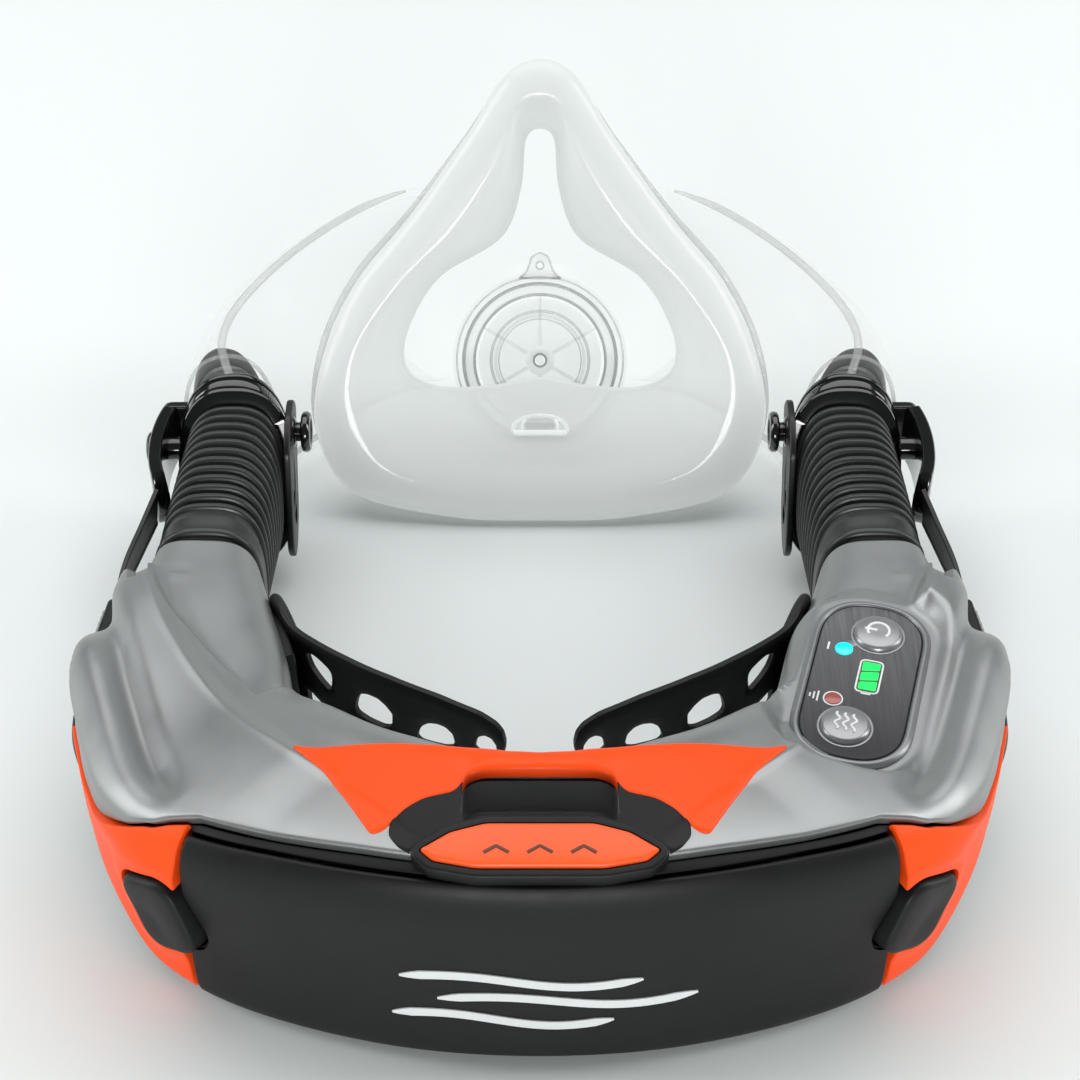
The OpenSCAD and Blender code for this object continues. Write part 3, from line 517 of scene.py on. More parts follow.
def rround(prof, r, seg=4):
    """Rounds the corners of a closed profile."""
    P = np.asarray(prof, float)
    out = []
    n = len(P)
    for i in range(n):
        a, b, c = P[i - 1], P[i], P[(i + 1) % n]
        u, w = a - b, c - b
        lu, lw = np.linalg.norm(u), np.linalg.norm(w)
        d = min(r, lu * .45, lw * .45)
        p, q = b + u / lu * d, b + w / lw * d
        for k in range(seg + 1):
            t = k / seg
            out.append((1 - t) ** 2 * p + 2 * t * (1 - t) * b + t * t * q)
    return np.array(out)


def rod(name, path, r, mat, body, mirror_x=False, seg=16, closed=False, caps=True, squash=(1, 1), up=(0, 0, 1)):
    path = np.asarray(path, float)
    T = unit(np.gradient(path, axis=0)) if not closed else unit(np.roll(path, -1, 0) - np.roll(path, 1, 0))
    up = np.tile(np.asarray(up, float), (len(path), 1))
    N = unit(np.cross(T, up))
    B = np.cross(N, T)
    a = np.linspace(0, 2 * pi, seg, endpoint=False)
    rr = np.full(len(path), float(r)) if np.isscalar(r) else np.asarray(r, float)
    if not closed and caps:
        k = 5
        q = []
        rad = []
        for end in (0, 1):
            p, tt, r0 = (path[0], -T[0], rr[0]) if end == 0 else (path[-1], T[-1], rr[-1])
            for i in range(1, k + 1):
                an = pi / 2 * i / k
                q.append((p + tt * r0 * math.sin(an), r0 * math.cos(an) + 1e-3, end))
        head = [x for x in q if x[2] == 0][::-1]
        tail = [x for x in q if x[2] == 1]
        path = np.concatenate([[x[0] for x in head], path, [x[0] for x in tail]])
        rr = np.concatenate([[x[1] for x in head], rr, [x[1] for x in tail]])
        N = np.concatenate([np.tile(N[0], (k, 1)), N, np.tile(N[-1], (k, 1))])
        B = np.concatenate([np.tile(B[0], (k, 1)), B, np.tile(B[-1], (k, 1))])
    V = (path[:, None] + rr[:, None, None] * (N[:, None] * (np.cos(a) * squash[0])[None, :, None] + B[:, None] * (np.sin(a) * squash[1])[None, :, None])).reshape(-1, 3)
    n = len(path)
    F = []
    for i in range(n if closed else n - 1):
        for j in range(seg):
            x, y = i * seg + j, i * seg + (j + 1) % seg
            z, w = ((i + 1) % n) * seg + (j + 1) % seg, ((i + 1) % n) * seg + j
            F.append((x, y, z, w))
    if not closed:
        F.append(tuple(range(seg))[::-1])
        F.append(tuple((n - 1) * seg + k for k in range(seg)))
    ob = put(name, V, F, mat, None, mirror_x=mirror_x)
    fix_normals(ob)
    if body:
        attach(ob, body)
    return ob


def sdist(poly, X, Y):
    """Signed distance from points to an open polyline (positive on its left) and the fraction along it."""
    poly = np.asarray(poly, float)
    best = np.full(X.shape, 1e9)
    sgn = np.ones(X.shape)
    fr = np.zeros(X.shape)
    seg = np.linalg.norm(np.diff(poly, axis=0), axis=1)
    cum = np.concatenate([[0], np.cumsum(seg)])
    for i in range(len(poly) - 1):
        ax, ay = poly[i]
        dx, dy = poly[i + 1] - poly[i]
        l2 = dx * dx + dy * dy
        t = ((X - ax) * dx + (Y - ay) * dy) / l2
        tc = np.clip(t, 0, 1)
        d = np.hypot(X - ax - tc * dx, Y - ay - tc * dy)
        m = d < best
        best = np.where(m, d, best)
        cz = dx * (Y - ay) - dy * (X - ax)
        sgn = np.where(m, np.sign(cz), sgn)
        fr = np.where(m, (cum[i] + tc * seg[i]) / cum[-1], fr)
    return best * sgn, fr


def curve_pts(P, n):
    """Catmull-Rom through open points P, n samples."""
    P = np.asarray(P, float)
    m = len(P)
    E = np.concatenate([[2 * P[0] - P[1]], P, [2 * P[-1] - P[-2]]])
    t = np.linspace(0, m - 1 - 1e-9, n)
    i = np.floor(t).astype(int)
    f = (t - i)[:, None]
    return cr(E[i], E[i + 1], E[i + 2], E[i + 3], f)


# ------------------------------------------------------------------ materials
class Mat:
    def __init__(s, name):
        s.m = bpy.data.materials.new(name)
        s.m.use_nodes = True
        s.nt = s.m.node_tree
        s.b = s.nt.nodes["Principled BSDF"]
        s.out = s.nt.nodes["Material Output"]

    def node(s, kind, **kw):
        n = s.nt.nodes.new(kind)
        for k, v in kw.items():
            if hasattr(n, k):
                setattr(n, k, v)
            else:
                n.inputs[k].default_value = v
        return n

    def link(s, a, b):
        s.nt.links.new(a, b)

    def set(s, **kw):
        for k, v in kw.items():
            s.b.inputs[k.replace("_", " ")].default_value = v
        return s

    def coords(s, scale=(1, 1, 1)):
        tc = s.node("ShaderNodeTexCoord")
        mp = s.node("ShaderNodeMapping")
        mp.inputs["Scale"].default_value = scale
        s.link(tc.outputs["Object"], mp.inputs["Vector"])
        return mp.outputs["Vector"]

    def noise(s, vec, scale, detail=3.0, rough=0.6):
        n = s.node("ShaderNodeTexNoise")
        n.inputs["Scale"].default_value = scale
        n.inputs["Detail"].default_value = detail
        n.inputs["Roughness"].default_value = rough
        s.link(vec, n.inputs["Vector"])
        return n.outputs["Fac"]

    def ramp(s, fac, stops):
        r = s.node("ShaderNodeValToRGB")
        el = r.color_ramp.elements
        while len(el) < len(stops):
            el.new(0.5)
        for e, (p, c) in zip(el, stops):
            e.position = p
            e.color = c if len(c) == 4 else (*c, 1)
        s.link(fac, r.inputs["Fac"])
        return r.outputs["Color"]

    def rangef(s, fac, a, b, c=0.0, d=1.0):
        r = s.node("ShaderNodeMapRange")
        r.inputs["From Min"].default_value = c
        r.inputs["From Max"].default_value = d
        r.inputs["To Min"].default_value = a
        r.inputs["To Max"].default_value = b
        s.link(fac, r.inputs["Value"])
        return r.outputs["Result"]

    def bump(s, fac, strength, dist):
        b = s.node("ShaderNodeBump")
        b.inputs["Strength"].default_value = strength
        b.inputs["Distance"].default_value = dist
        s.link(fac, b.inputs["Height"])
        s.link(b.outputs["Normal"], s.b.inputs["Normal"])
        return b


def lin(r, g, b):
    f = lambda c: c / 255 / 12.92 if c / 255 <= .04045 else ((c / 255 + .055) / 1.055) ** 2.4
    return (f(r), f(g), f(b), 1.0)


def shade(c, k):
    return (min(1, c[0] * k), min(1, c[1] * k), min(1, c[2] * k), 1.0)


def plastic(name, col, rough, grain=0.25, scale=2600.0, var=0.06, blot=45.0, rvar=0.06, metallic=0.0, spec=0.5, coat=0.0, dist=0.00006):
    m = Mat(name)
    v = m.coords()
    fine = m.noise(v, scale, 2.0, 0.7)
    big = m.noise(v, blot, 4.0, 0.6)
    m.link(m.ramp(big, [(0.3, shade(col, 1 - var)), (0.7, shade(col, 1 + var))]), m.b.inputs["Base Color"])
    m.link(m.rangef(big, rough - rvar, rough + rvar, 0.3, 0.7), m.b.inputs["Roughness"])
    m.bump(fine, grain, dist)
    m.set(Metallic=metallic, Specular_IOR_Level=spec, Coat_Weight=coat, Coat_Roughness=0.12)
    return m.m


def brushed(name, col, rough, axis, metallic=1.0, grain=0.3, var=0.1, scale=900.0):
    m = Mat(name)
    sc = [1.0, 1.0, 1.0]
    sc[axis] = 0.02
    v = m.coords(tuple(sc))
    f = m.noise(v, scale, 3.0, 0.6)
    m.link(m.ramp(f, [(0.3, shade(col, 1 - var)), (0.7, shade(col, 1 + var))]), m.b.inputs["Base Color"])
    m.link(m.rangef(f, rough - .08, rough + .08, .3, .7), m.b.inputs["Roughness"])
    m.bump(f, grain, 0.00004)
    m.set(Metallic=metallic, Specular_IOR_Level=0.5)
    return m.m


def panel_face(name, lo, hi, rough):
    """Brushed dark metal, lighter towards the mask end."""
    m = Mat(name)
    v = m.coords((1.0, 0.03, 1.0))
    f = m.noise(v, 1500.0, 3.0, 0.6)
    raw = m.node("ShaderNodeTexCoord")
    sx = m.node("ShaderNodeSeparateXYZ")
    m.link(raw.outputs["Object"], sx.inputs["Vector"])
    g = m.rangef(sx.outputs["Y"], 0.0, 1.0, -0.084, -0.03)
    mix = m.node("ShaderNodeMix")
    mix.data_type = "RGBA"
    mix.blend_type = "MULTIPLY"
    mix.inputs["Factor"].default_value = 1.0
    m.link(m.ramp(g, [(0.0, lo), (1.0, hi)]), mix.inputs["A"])
    m.link(m.ramp(f, [(0.3, (0.72, 0.72, 0.73, 1)), (0.7, (1.15, 1.15, 1.15, 1))]), mix.inputs["B"])
    m.link(mix.outputs["Result"], m.b.inputs["Base Color"])
    m.link(m.rangef(f, rough - .08, rough + .08, .3, .7), m.b.inputs["Roughness"])
    m.bump(f, 0.2, 0.00004)
    m.set(Metallic=0.4, Specular_IOR_Level=0.4)
    return m.m


GREY = lin(150, 152, 152)
ORANGE = lin(255, 80, 20)
M_grey = plastic("grey_shell", GREY, 0.40, grain=0.34, var=0.03, metallic=0.7, spec=0.5, dist=0.00007)
M_black = plastic("black_shell", lin(20, 20, 21), 0.48, grain=0.3, var=0.07, spec=0.26)
M_orange = plastic("orange_trim", ORANGE, 0.44, grain=0.2, var=0.03, spec=0.2)
M_badge = plastic("badge_orange", lin(255, 92, 38), 0.34, grain=0.1, var=0.02, spec=0.3, coat=0.1)
M_bezel = plastic("bezel_metal", lin(132, 134, 135), 0.34, grain=0.15, var=0.03, metallic=0.6)
M_panel = panel_face("panel_dark", lin(40, 40, 42), lin(112, 112, 114), 0.44)
M_button = plastic("button_silver", lin(150, 151, 152), 0.3, grain=0.05, var=0.03, metallic=0.6)
M_pad = plastic("pad_rubber", lin(17, 17, 18), 0.5, grain=0.2, var=0.1, spec=0.35)
M_hose = plastic("hose_rubber", lin(40, 41, 42), 0.36, grain=0.25, var=0.06, spec=0.5, scale=1800.0)
M_strap = plastic("strap_web", lin(20, 20, 21), 0.38, grain=0.15, var=0.1, spec=0.45)
M_buckle = plastic("buckle_black", lin(20, 20, 21), 0.26, grain=0.06, var=0.08, spec=0.5, coat=0.3)
M_collar = plastic("collar_gloss", lin(10, 10, 11), 0.14, grain=0.03, var=0.08, spec=0.5, coat=0.6, rvar=0.03)
M_seal = plastic("seal_black", lin(24, 24, 25), 0.5, grain=0.15, var=0.1)
M_ribs = brushed("buckle_ribs", lin(150, 151, 152), 0.3, 2, metallic=0.9)
M_inner = plastic("inner_black", lin(36, 36, 38), 0.5, grain=0.25, var=0.08)
M_gap = plastic("seam_dark", lin(9, 9, 9), 0.6, grain=0.1, var=0.1, spec=0.2)
M_white = plastic("print_white", lin(225, 227, 227), 0.45, grain=0.1, var=0.02)
M_print = plastic("print_grey", lin(96, 42, 24), 0.45, grain=0.1, var=0.04)
M_steel = brushed("steel", lin(185, 186, 188), 0.26, 2)
M_paper = plastic("filter_paper", lin(232, 231, 224), 0.8, grain=0.6, var=0.04, scale=900.0, dist=0.00015, spec=0.2)
M_fframe = plastic("filter_frame_white", lin(220, 221, 222), 0.42, grain=0.2, var=0.03)
M_impel = plastic("impeller_white", lin(205, 207, 209), 0.36, grain=0.15, var=0.04)
M_batt = plastic("battery_wrap", lin(52, 104, 172), 0.25, grain=0.1, var=0.08, coat=0.4)


def board():
    m = Mat("board_green")
    v = m.coords()
    br = m.node("ShaderNodeTexVoronoi")
    br.inputs["Scale"].default_value = 420.0
    m.link(v, br.inputs["Vector"])
    m.link(m.ramp(br.outputs["Distance"], [(0.12, lin(188, 160, 70)), (0.16, lin(20, 96, 52)), (0.6, lin(14, 80, 42))]), m.b.inputs["Base Color"])
    m.bump(m.noise(v, 900.0), 0.2, 0.0001)
    m.set(Roughness=0.35, Coat_Weight=0.4)
    return m.m


def copper():
    m = Mat("copper")
    v = m.coords()
    w = m.node("ShaderNodeTexWave")
    w.bands_direction = "Z"
    w.inputs["Scale"].default_value = 700.0
    w.inputs["Distortion"].default_value = 0.6
    m.link(v, w.inputs["Vector"])
    m.link(m.ramp(w.outputs["Fac"], [(0.1, lin(96, 44, 20)), (0.6, lin(206, 122, 62))]), m.b.inputs["Base Color"])
    m.bump(w.outputs["Fac"], 0.5, 0.0002)
    m.set(Roughness=0.3, Metallic=0.9)
    return m.m


M_board, M_copper = board(), copper()


def lens(name, col, em, e=1.6):
    m = Mat(name)
    v = m.coords()
    f = m.noise(v, 260.0, 2.0)
    m.link(m.ramp(f, [(0.25, shade(col, .86)), (0.75, shade(col, 1.06))]), m.b.inputs["Base Color"])
    m.link(m.ramp(f, [(0.25, shade(em, .9)), (0.75, em)]), m.b.inputs["Emission Color"])
    m.set(Roughness=0.22, Emission_Strength=e, Coat_Weight=0.5)
    return m.m


M_cyan = lens("lens_cyan", lin(0, 225, 250), lin(0, 235, 255), 0.75)
M_green = lens("lens_green", lin(0, 225, 90), lin(0, 235, 96), 0.6)
M_red = lens("lens_red", lin(150, 78, 70), lin(150, 70, 62), 0.25)


def clear(name, lo, hi, tint, rough=0.08, blend=0.35, grain=0.05, painted_glow=0.0, painted_glow_col=None):
    """Clear plastic: faint face on, denser where the wall turns edge on, with a painted glow of emission that stands in
    for light shining through it.
    """
    m = Mat(name)
    v = m.coords()
    lw = m.node("ShaderNodeLayerWeight")
    lw.inputs["Blend"].default_value = blend
    m.link(m.ramp(lw.outputs["Facing"], [(0.0, (lo, lo, lo, 1)), (0.45, (lo * 1.25, lo * 1.25, lo * 1.25, 1)), (0.8, ((lo + hi) / 2, (lo + hi) / 2, (lo + hi) / 2, 1)), (1.0, (hi, hi, hi, 1))]), m.b.inputs["Alpha"])
    n = m.noise(v, 18.0, 3.0)
    m.link(m.ramp(n, [(0.3, shade(tint, .97)), (0.7, tint)]), m.b.inputs["Base Color"])
    painted_glow_col = painted_glow_col or tint
    m.link(m.ramp(n, [(0.3, shade(painted_glow_col, .95)), (0.7, painted_glow_col)]), m.b.inputs["Emission Color"])
    m.set(Emission_Strength=painted_glow)
    m.bump(m.noise(v, 700.0, 2.0), grain, 0.00004)
    m.set(Roughness=rough, Specular_IOR_Level=0.5, Coat_Weight=0.4, Coat_Roughness=0.05)
    return m.m


# the glow amounts below are painted light: emission that makes the clear plastics and the silicone look lit through,
# though none of them is a lamp
M_clear = clear("clear_shell", 0.035, 0.34, lin(230, 234, 233), 0.1, 0.4, painted_glow=0.14)
M_edge = clear("clear_edge", 0.26, 0.74, lin(176, 180, 179), 0.14, 0.5, painted_glow=0.12)
M_sleeve = plastic("port_sleeve", lin(66, 67, 68), 0.26, grain=0.05, var=0.08, coat=0.4)
M_valve = clear("valve_clear", 0.12, 0.58, lin(220, 224, 223), 0.08, 0.45, painted_glow=0.15)
# the silicone's painted glow has its own lighter colour, standing in for light passing through the silicone
M_sil = clear("silicone", 0.64, 0.84, lin(190, 195, 194), 0.5, 0.3, grain=0.12, painted_glow=0.4, painted_glow_col=lin(222, 225, 224))
M_clip = clear("clear_bright", 0.45, 0.85, lin(232, 236, 235), 0.1, 0.45, painted_glow=0.3)
M_ring = clear("clear_dark", 0.45, 0.85, lin(150, 153, 153), 0.12, 0.5, painted_glow=0.08)
M_flap = clear("flap_silicone", 0.14, 0.4, lin(226, 230, 229), 0.4, 0.35, painted_glow=0.15)


# ------------------------------------------------------------------ housing: upper moulding
RIDGE = curve_pts([(93.6, -66), (93.3, -74), (88.6, -88), (78.8, -105.7), (67.2, -121.6), (55.5, -133.8), (44, -144)], 60)
DUCT = curve_pts([(94.2, -58), (93.0, -66), (89.6, -77), (81.6, -88.6), (72.3, -101), (64.2, -110.6)], 50)
DUCT_IN = np.array([(64.2, -110.6), (62.5, -108.6), (58.0, -105.0)])
GROOVE = curve_pts([(104.6, -66), (103.2, -76), (99.9, -89), (96.2, -101), (92.6, -112), (87.4, -127), (82.0, -139), (76, -149)], 60)


def top_disp(P, N):
    """Height added to the skin: the pod with its crest, the lip over the duct, the groove beside the hip."""
    X, Y, Z = np.abs(P[..., 0]), P[..., 1], P[..., 2]
    up = sm(0.15, 0.7, N[..., 2])
    s, f = sdist(RIDGE, X, Y)
    # the polyline runs to the back, so its left side is the outer one
    outer = s
    h0 = 3.7 * (1 - 0.5 * sm(0.1, 0.8, f)) * (1 - sm(0.86, 1.0, f) * 0.7)
    front = sm(-65.4, -67.2, Y)
    crest = np.where(outer > 0, 1 - 0.8 * sm(4, 30, outer), 0)
    inner = np.where(outer <= 0, 0.25 * (1 - sm(2, 9, -outer)) + 0.75 * (1 - sm(-0.3, 4.6, -outer)), 0)
    lipup = 0.35 * np.exp(-(outer / 0.9) ** 2)
    h = (h0 * (crest + inner) + lipup) * front * up
    d, g = sdist(DUCT, X, Y)
    d2, _ = sdist(DUCT_IN, X, Y)
    band = sm(-0.5, 1.1, np.where(Y > -111, d, 5.0))
    v_in = sm(-0.5, 1.1, np.where(X < 66, d2, -5.0))
    inside = (X < 95.5) & (Y > -113) & (X > 55)
    over = np.where(Y > -60, 0.0, np.maximum(band, np.where(X < 64.6, v_in, 0.0)))
    over = np.where(Y <= -111.5, 1.0, over)
    h += 1.7 * over * up * sm(-60, -68, Y)
    # soft groove between the pod and the hip
    gd, gf = sdist(GROOVE, X, Y)
    fade = sm(0.03, 0.16, gf) * (1 - sm(0.8, 0.97, gf))
    h -= 3.3 * np.exp(-(gd / 3.2) ** 2) * fade * sm(-0.3, 0.3, N[..., 2] + 0.45)
    h += 1.0 * np.exp(-((gd - 6.2) / 3.2) ** 2) * fade * sm(0, .5, N[..., 2])
    # front end of the pod beside the duct
    side = sm(0.2, -0.4, N[..., 2] - 0.45) * (P[..., 0] * N[..., 0] > 0)
    h += np.where(X > 90, 1.5 * sm(-65.6, -67.6, Y) * sm(-88, -78, Y) - 1.9 * sm(-67, -63, Y), 0) * side
    # small square notch at the front of the crest
    # level seat round the keypad
    c_, s_ = math.cos(math.radians(-15.3)), math.sin(math.radians(-15.3))
    dx, dy = P[..., 0] - 73.8, P[..., 1] + 105.6
    lx, ly = dx * c_ + dy * s_, -dx * s_ + dy * c_
    ax_, ay_ = np.abs(lx) - 2.0, np.abs(ly) - 15.0
    kd = np.hypot(np.maximum(ax_, 0), np.maximum(ay_, 0)) + np.minimum(np.maximum(ax_, ay_), 0) - 12.0
    kw = (1 - sm(1.2, 6.5, kd)) * (N[..., 2] > 0.25)
    flat = (50.75 - Z) / np.maximum(N[..., 2], 0.45)
    h = h * (1 - kw) + np.clip(flat, -3.0, 3.2) * kw
    slot = sm(93.2, 93.9, X) * (1 - sm(96.4, 97.1, X)) * sm(-72.6, -71.6, Y) * up
    h -= slot * 2.4 * sm(-65.0, -66.2, Y)
    return h


def t_list(lo, hi, n, r_lo=0.0, r_hi=0.0, scale=30.0, extra=()):
    t = np.linspace(lo, hi, n)
    e = np.array([0, .06, .2, .45, .72, 1.0])
    if r_lo:
        t = np.concatenate([lo + e * r_lo / scale, t[t > lo + r_lo / scale + 1e-4]])
    if r_hi:
        t = np.concatenate([t[t < hi - r_hi / scale - 1e-4], (hi - e * r_hi / scale)[::-1]])
    return np.unique(np.concatenate([t, np.asarray(extra, float)]))


def end_dist(ts, P):
    """Distance of each row from the two ends of the piece, along the middle column."""
    mid = P[:, P.shape[1] // 2]
    S = np.concatenate([[0], np.cumsum(np.linalg.norm(np.diff(mid, axis=0), axis=1))])
    return S, S[-1] - S


def rounded_panel(name, ts, f0, f1, nv, r, th, mat, body, o=None, disp=None, ends=(False, False), ref=None):
    P, PH, d0, d1 = strip(ts, f0, f1, nv, r, o)
    N = normals(P)
    c = ref if ref is not None else (0, -100, 28)
    v = stn(np.asarray(ts))
    C = np.stack([(v[:, 0] + v[:, 2]) / 2, (v[:, 1] + v[:, 3]) / 2, (v[:, 4] + v[:, 5]) / 2], -1)
    if ((P - C[:, None]) * N).sum() < 0:
        N = -N
    if disp is not None:
        P = P + N * disp(P, N)[..., None]
        N2 = normals(P)
        N = N2 if (N2 * N).sum() > 0 else -N2
    dd = rounding(np.minimum(d0, d1), r)
    a, b = end_dist(ts, P)
    if ends[0]:
        dd = np.maximum(dd, rounding(a, r)[:, None] * np.ones_like(dd))
    if ends[1]:
        dd = np.maximum(dd, rounding(b, r)[:, None] * np.ones_like(dd))
    P = P - N * dd[..., None]
    return solid_grid(name, P, N, th, mat, body), P, N


NT = 300


def quarter(i):
    return lambda t: pa(t, i)


NE = 150
side_t = np.concatenate([np.linspace(-6, -3.2, NE), np.linspace(-3.2, 3.2, NT)[1:-1], np.linspace(3.2, 6, NE)])
side_t = np.unique(np.concatenate([side_t, -6 + np.array([0, .02, .05, .1]) / 1, 6 - np.array([0, .02, .05, .1])]))
upper, UP, UN = rounded_panel("upper_moulding", side_t, lambda t: lip(t, -0.22), lambda t: pa(t, 196), 124, 0.9, 2.2, M_grey, None,
                              o=lambda t, p: -hip(t, p), disp=top_disp, ends=(True, True))
# finger pocket through the top of the shell
XY = ((1, 0, 0), (0, 1, 0), (0, 0, 1))


def at(x, y, z):
    return ((x, y, z),) + XY


pocket_cut = pillow("pocket_cut", soften(pill(16.6, 33.4, 4.5)) + [0, -150.6], 47, 80, 0.1, None, None, at(0, 0, 0))
badge_o, bc, bs = (0, -165, 59.6), math.cos(math.radians(14)), math.sin(math.radians(14))
BFR = (badge_o, (1, 0, 0), (0, bc, bs), (0, -bs, bc))
BOAT = np.array([(-26.5, 1.5), (-26.7, -0.9), (-23, -.35 * 12), (-13.5, -6), (13.5, -6), (23, -.35 * 12), (26.7, -0.9), (26.5, 1.5), (19.5, 6.0), (11.6, 8.2), (-11.6, 8.2), (-19.5, 6.0)])[::-1]


def boat(k, n=90, dy=0.0):
    """The badge outline grown by k mm, with softened corners."""
    P = resample(BOAT, n * 4)
    P = soften(P, times=10)
    P = resample(P, n)
    return P + onorm(P) * k + [0, dy]


bool_cut(upper, [pocket_cut], guard=True)
sharp(upper, 42)
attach(upper, "housing")
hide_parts("upper_housing")
# tray under the pocket
tray = pillow("pocket_tray", soften(pill(19.4, 36.2, 5.5)) + [0, -150.6], 44.6, 58.4, 0.8, M_grey, None, at(0, 0, 0))
cut = pillow("tray_cut", soften(pill(16.6, 33.4, 4.5)) + [0, -150.6], 47.0, 70, 0.1, None, None, at(0, 0, 0), rb=2.0)
bool_cut(tray, [cut])
sharp(tray, 40)
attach(tray, "housing")

# lower moulding and filter bay
def crescent(P, N):
    X, Y, Z = np.abs(P[..., 0]), P[..., 1], P[..., 2]
    return 2.3 * np.exp(-((Y + 97) / 9.5) ** 2) * np.exp(-((Z - 25) / 8.5) ** 2) * (X > 95)


lower, LP_, LN_ = rounded_panel("lower_moulding", side_t[::2], lambda t: pa(t, 196.8), lambda t: bot(t, -0.3) + 2 * pi, 64, 0.7, 2.2, M_black, None,
                                o=lambda t, p: -hip(t, p), disp=crescent, ends=(True, True))
cuts = [pillow("socket_cut", circle(6.1, 48) + [-81, -94], -5, 14, 0.1, None, None, at(0, 0, 0))]
SCREWS = [(37, -134, 2.7), (86, -112, 6.8), (84, -72, 10.4)]
for sx in (-1, 1):
    for x, y, z in SCREWS:
        cuts.append(pillow("screw_cut", circle(2.9, 32) + [sx * x, y], -5, 14, 0.1, None, None, at(0, 0, 0)))
bool_cut(lower, cuts)
sharp(lower, 42)
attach(lower, "housing")
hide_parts("lower_housing")

bay_t = t_list(-2.06, 2.06, NT // 2)
bay, _, _ = rounded_panel("bay_rim", bay_t, lambda t: cov(t, -0.22), lambda t: lip(t, 0.3), 14, 0.35, 3.6, M_black, None, o=lambda t, p: 0.35 + 0 * p)
sharp(bay, 42)
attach(bay, "housing")


def arc_wall(name, r0, r1, z0, z1, half, mat, body, holes=()):
    """Upright wall on an arc about (0, 40), like the cartridge bay."""
    n = 70
    a = np.linspace(-1, 1, n) * math.asin(half / ((r0 + r1) / 2))
    V, F = [], []
    for x in a:
        for r in (r0, r1):
            for z in (z0, z1):
                V.append((r * math.sin(x), 40 - r * math.cos(x), z))
    for i in range(n - 1):
        b = 4 * i
        for p, q in ((0, 1), (1, 3), (3, 2), (2, 0)):
            F.append((b + p, b + q, b + 4 + q, b + 4 + p))
    F += [(0, 2, 3, 1), (4 * n - 4, 4 * n - 3, 4 * n - 1, 4 * n - 2)]
    ob = put(name, V, F, mat, None)
    fix_normals(ob)
    return ob


wall = arc_wall("bay_wall", 196.0, 197.6, 4.6, 45, 57.5, M_inner, None)
hc = []
for sx in (-1, 1):
    P = circle(11, 64)
    c = pillow("bay_hole", P, -12, 12, 0.1, None, None, ((sx * 44, -152, 26), (1, 0, 0), (0, 0, 1), (0, -1, 0)))
    hc.append(c)
bool_cut(wall, hc)
bevel(wall, 0.35, 2)
sharp(wall, 35)
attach(wall, "housing")
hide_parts("filter_bay_frame")

# ------------------------------------------------------------------ rear cover
LATCH_Z = 28.2
lat = np.array(sec(np.array(2.27), np.array(0.0), np.array(0.0)))
lat[2] = LATCH_Z
la = math.radians(39.5)


def latch_frame(s):
    # leaning so that the end toward the middle of the cover is the higher one
    c, q = math.cos(math.radians(25)), math.sin(math.radians(25))
    ux, uy = s * math.cos(la), math.sin(la)
    return ((s * lat[0], lat[1], lat[2]), (c * ux, c * uy, -q), (q * ux, q * uy, c), (s * math.sin(la), -math.cos(la), 0))


def latch_cut(s, w=19.4, h=25.0, r=6.4, dx=0.0):
    P = pill(h, w, r) + [dx, 0]
    fr = latch_frame(s)
    return pillow("latch_cut", P if s > 0 else P[::-1], -12, 18, 0.1, None, None, fr)


cov_t = t_list(-2.04, 2.04, NT, 0.9, 0.9, 45.0)
cover, CP, CN = rounded_panel("rear_cover", cov_t, lambda t: bot(t, 0.42), lambda t: cov(t, 0.42), 72, 0.9, 2.4, M_black, None,
                              o=lambda t, p: -0.9 + 0 * p, ends=(True, True))
bool_cut(cover, [latch_cut(1, 20.6, 22.4, 6.4, -1.4), latch_cut(-1, 20.6, 22.4, 6.4, -1.4)])
sharp(cover, 42)
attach(cover, "filter_cover")
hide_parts("filter_cover")

# airflow strokes printed on the cover
fc = lambda P: (P[:, :, :])


def on_cover(x, z, lift):
    """Point on the outside of the cover at width x and height z."""
    t = np.interp(x, np.linspace(-80, 80, 161), XT)
    v = stn(t)
    ph = pz(t, z)
    P0 = sec(t, ph, np.full_like(t, -0.9))
    P1 = sec(t, ph, np.full_like(t, -0.9 - 1.0))
    d = unit(P1 - P0)
    n = np.stack([v[:, 0] - v[:, 2], v[:, 1] - v[:, 3], 0 * t], -1)
    return P0 + unit(n) * lift


tt = np.linspace(-2.4, 2.4, 400)
xx = sec(tt, np.zeros(400), np.full(400, -0.9))[:, 0]
XT = np.interp(np.linspace(-80, 80, 161), xx, tt)


def stroke(name, xs, zs, w, mat, body):
    """A flat raised band on the cover along a curve."""
    xs, zs = np.asarray(xs, float), np.asarray(zs, float)
    d = unit(np.stack([np.gradient(xs), np.gradient(zs)], -1))
    nx, nz = -d[:, 1], d[:, 0]
    prof = [(-1, 0.05), (-0.96, 0.30), (-0.7, 0.36), (0, 0.37), (0.7, 0.36), (0.96, 0.30), (1, 0.05)]
    k = len(prof)
    ww = w / 2 * np.sqrt(np.clip(np.minimum(np.arange(len(xs)), np.arange(len(xs))[::-1]) / 5.0, 0.05, 1))
    rows = [on_cover(xs + nx * ww * a, zs + nz * ww * a, b) for a, b in prof]
    rows += [on_cover(xs + nx * ww * a, zs + nz * ww * a, -0.3) for a in (0.9, -0.9)]
    V = np.stack(rows, 1)
    m = V.shape[1]
    F = []
    for i in range(len(xs) - 1):
        for j in range(m):
            a, b = i * m + j, i * m + (j + 1) % m
            F.append((a, b, b + m, a + m))
    F.append(tuple(range(m))[::-1])
    F.append(tuple((len(xs) - 1) * m + q for q in range(m)))
    ob = put(name, V.reshape(-1, 3), F, mat, None)
    fix_normals(ob)
    sharp(ob, 50)
    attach(ob, body)
    return ob


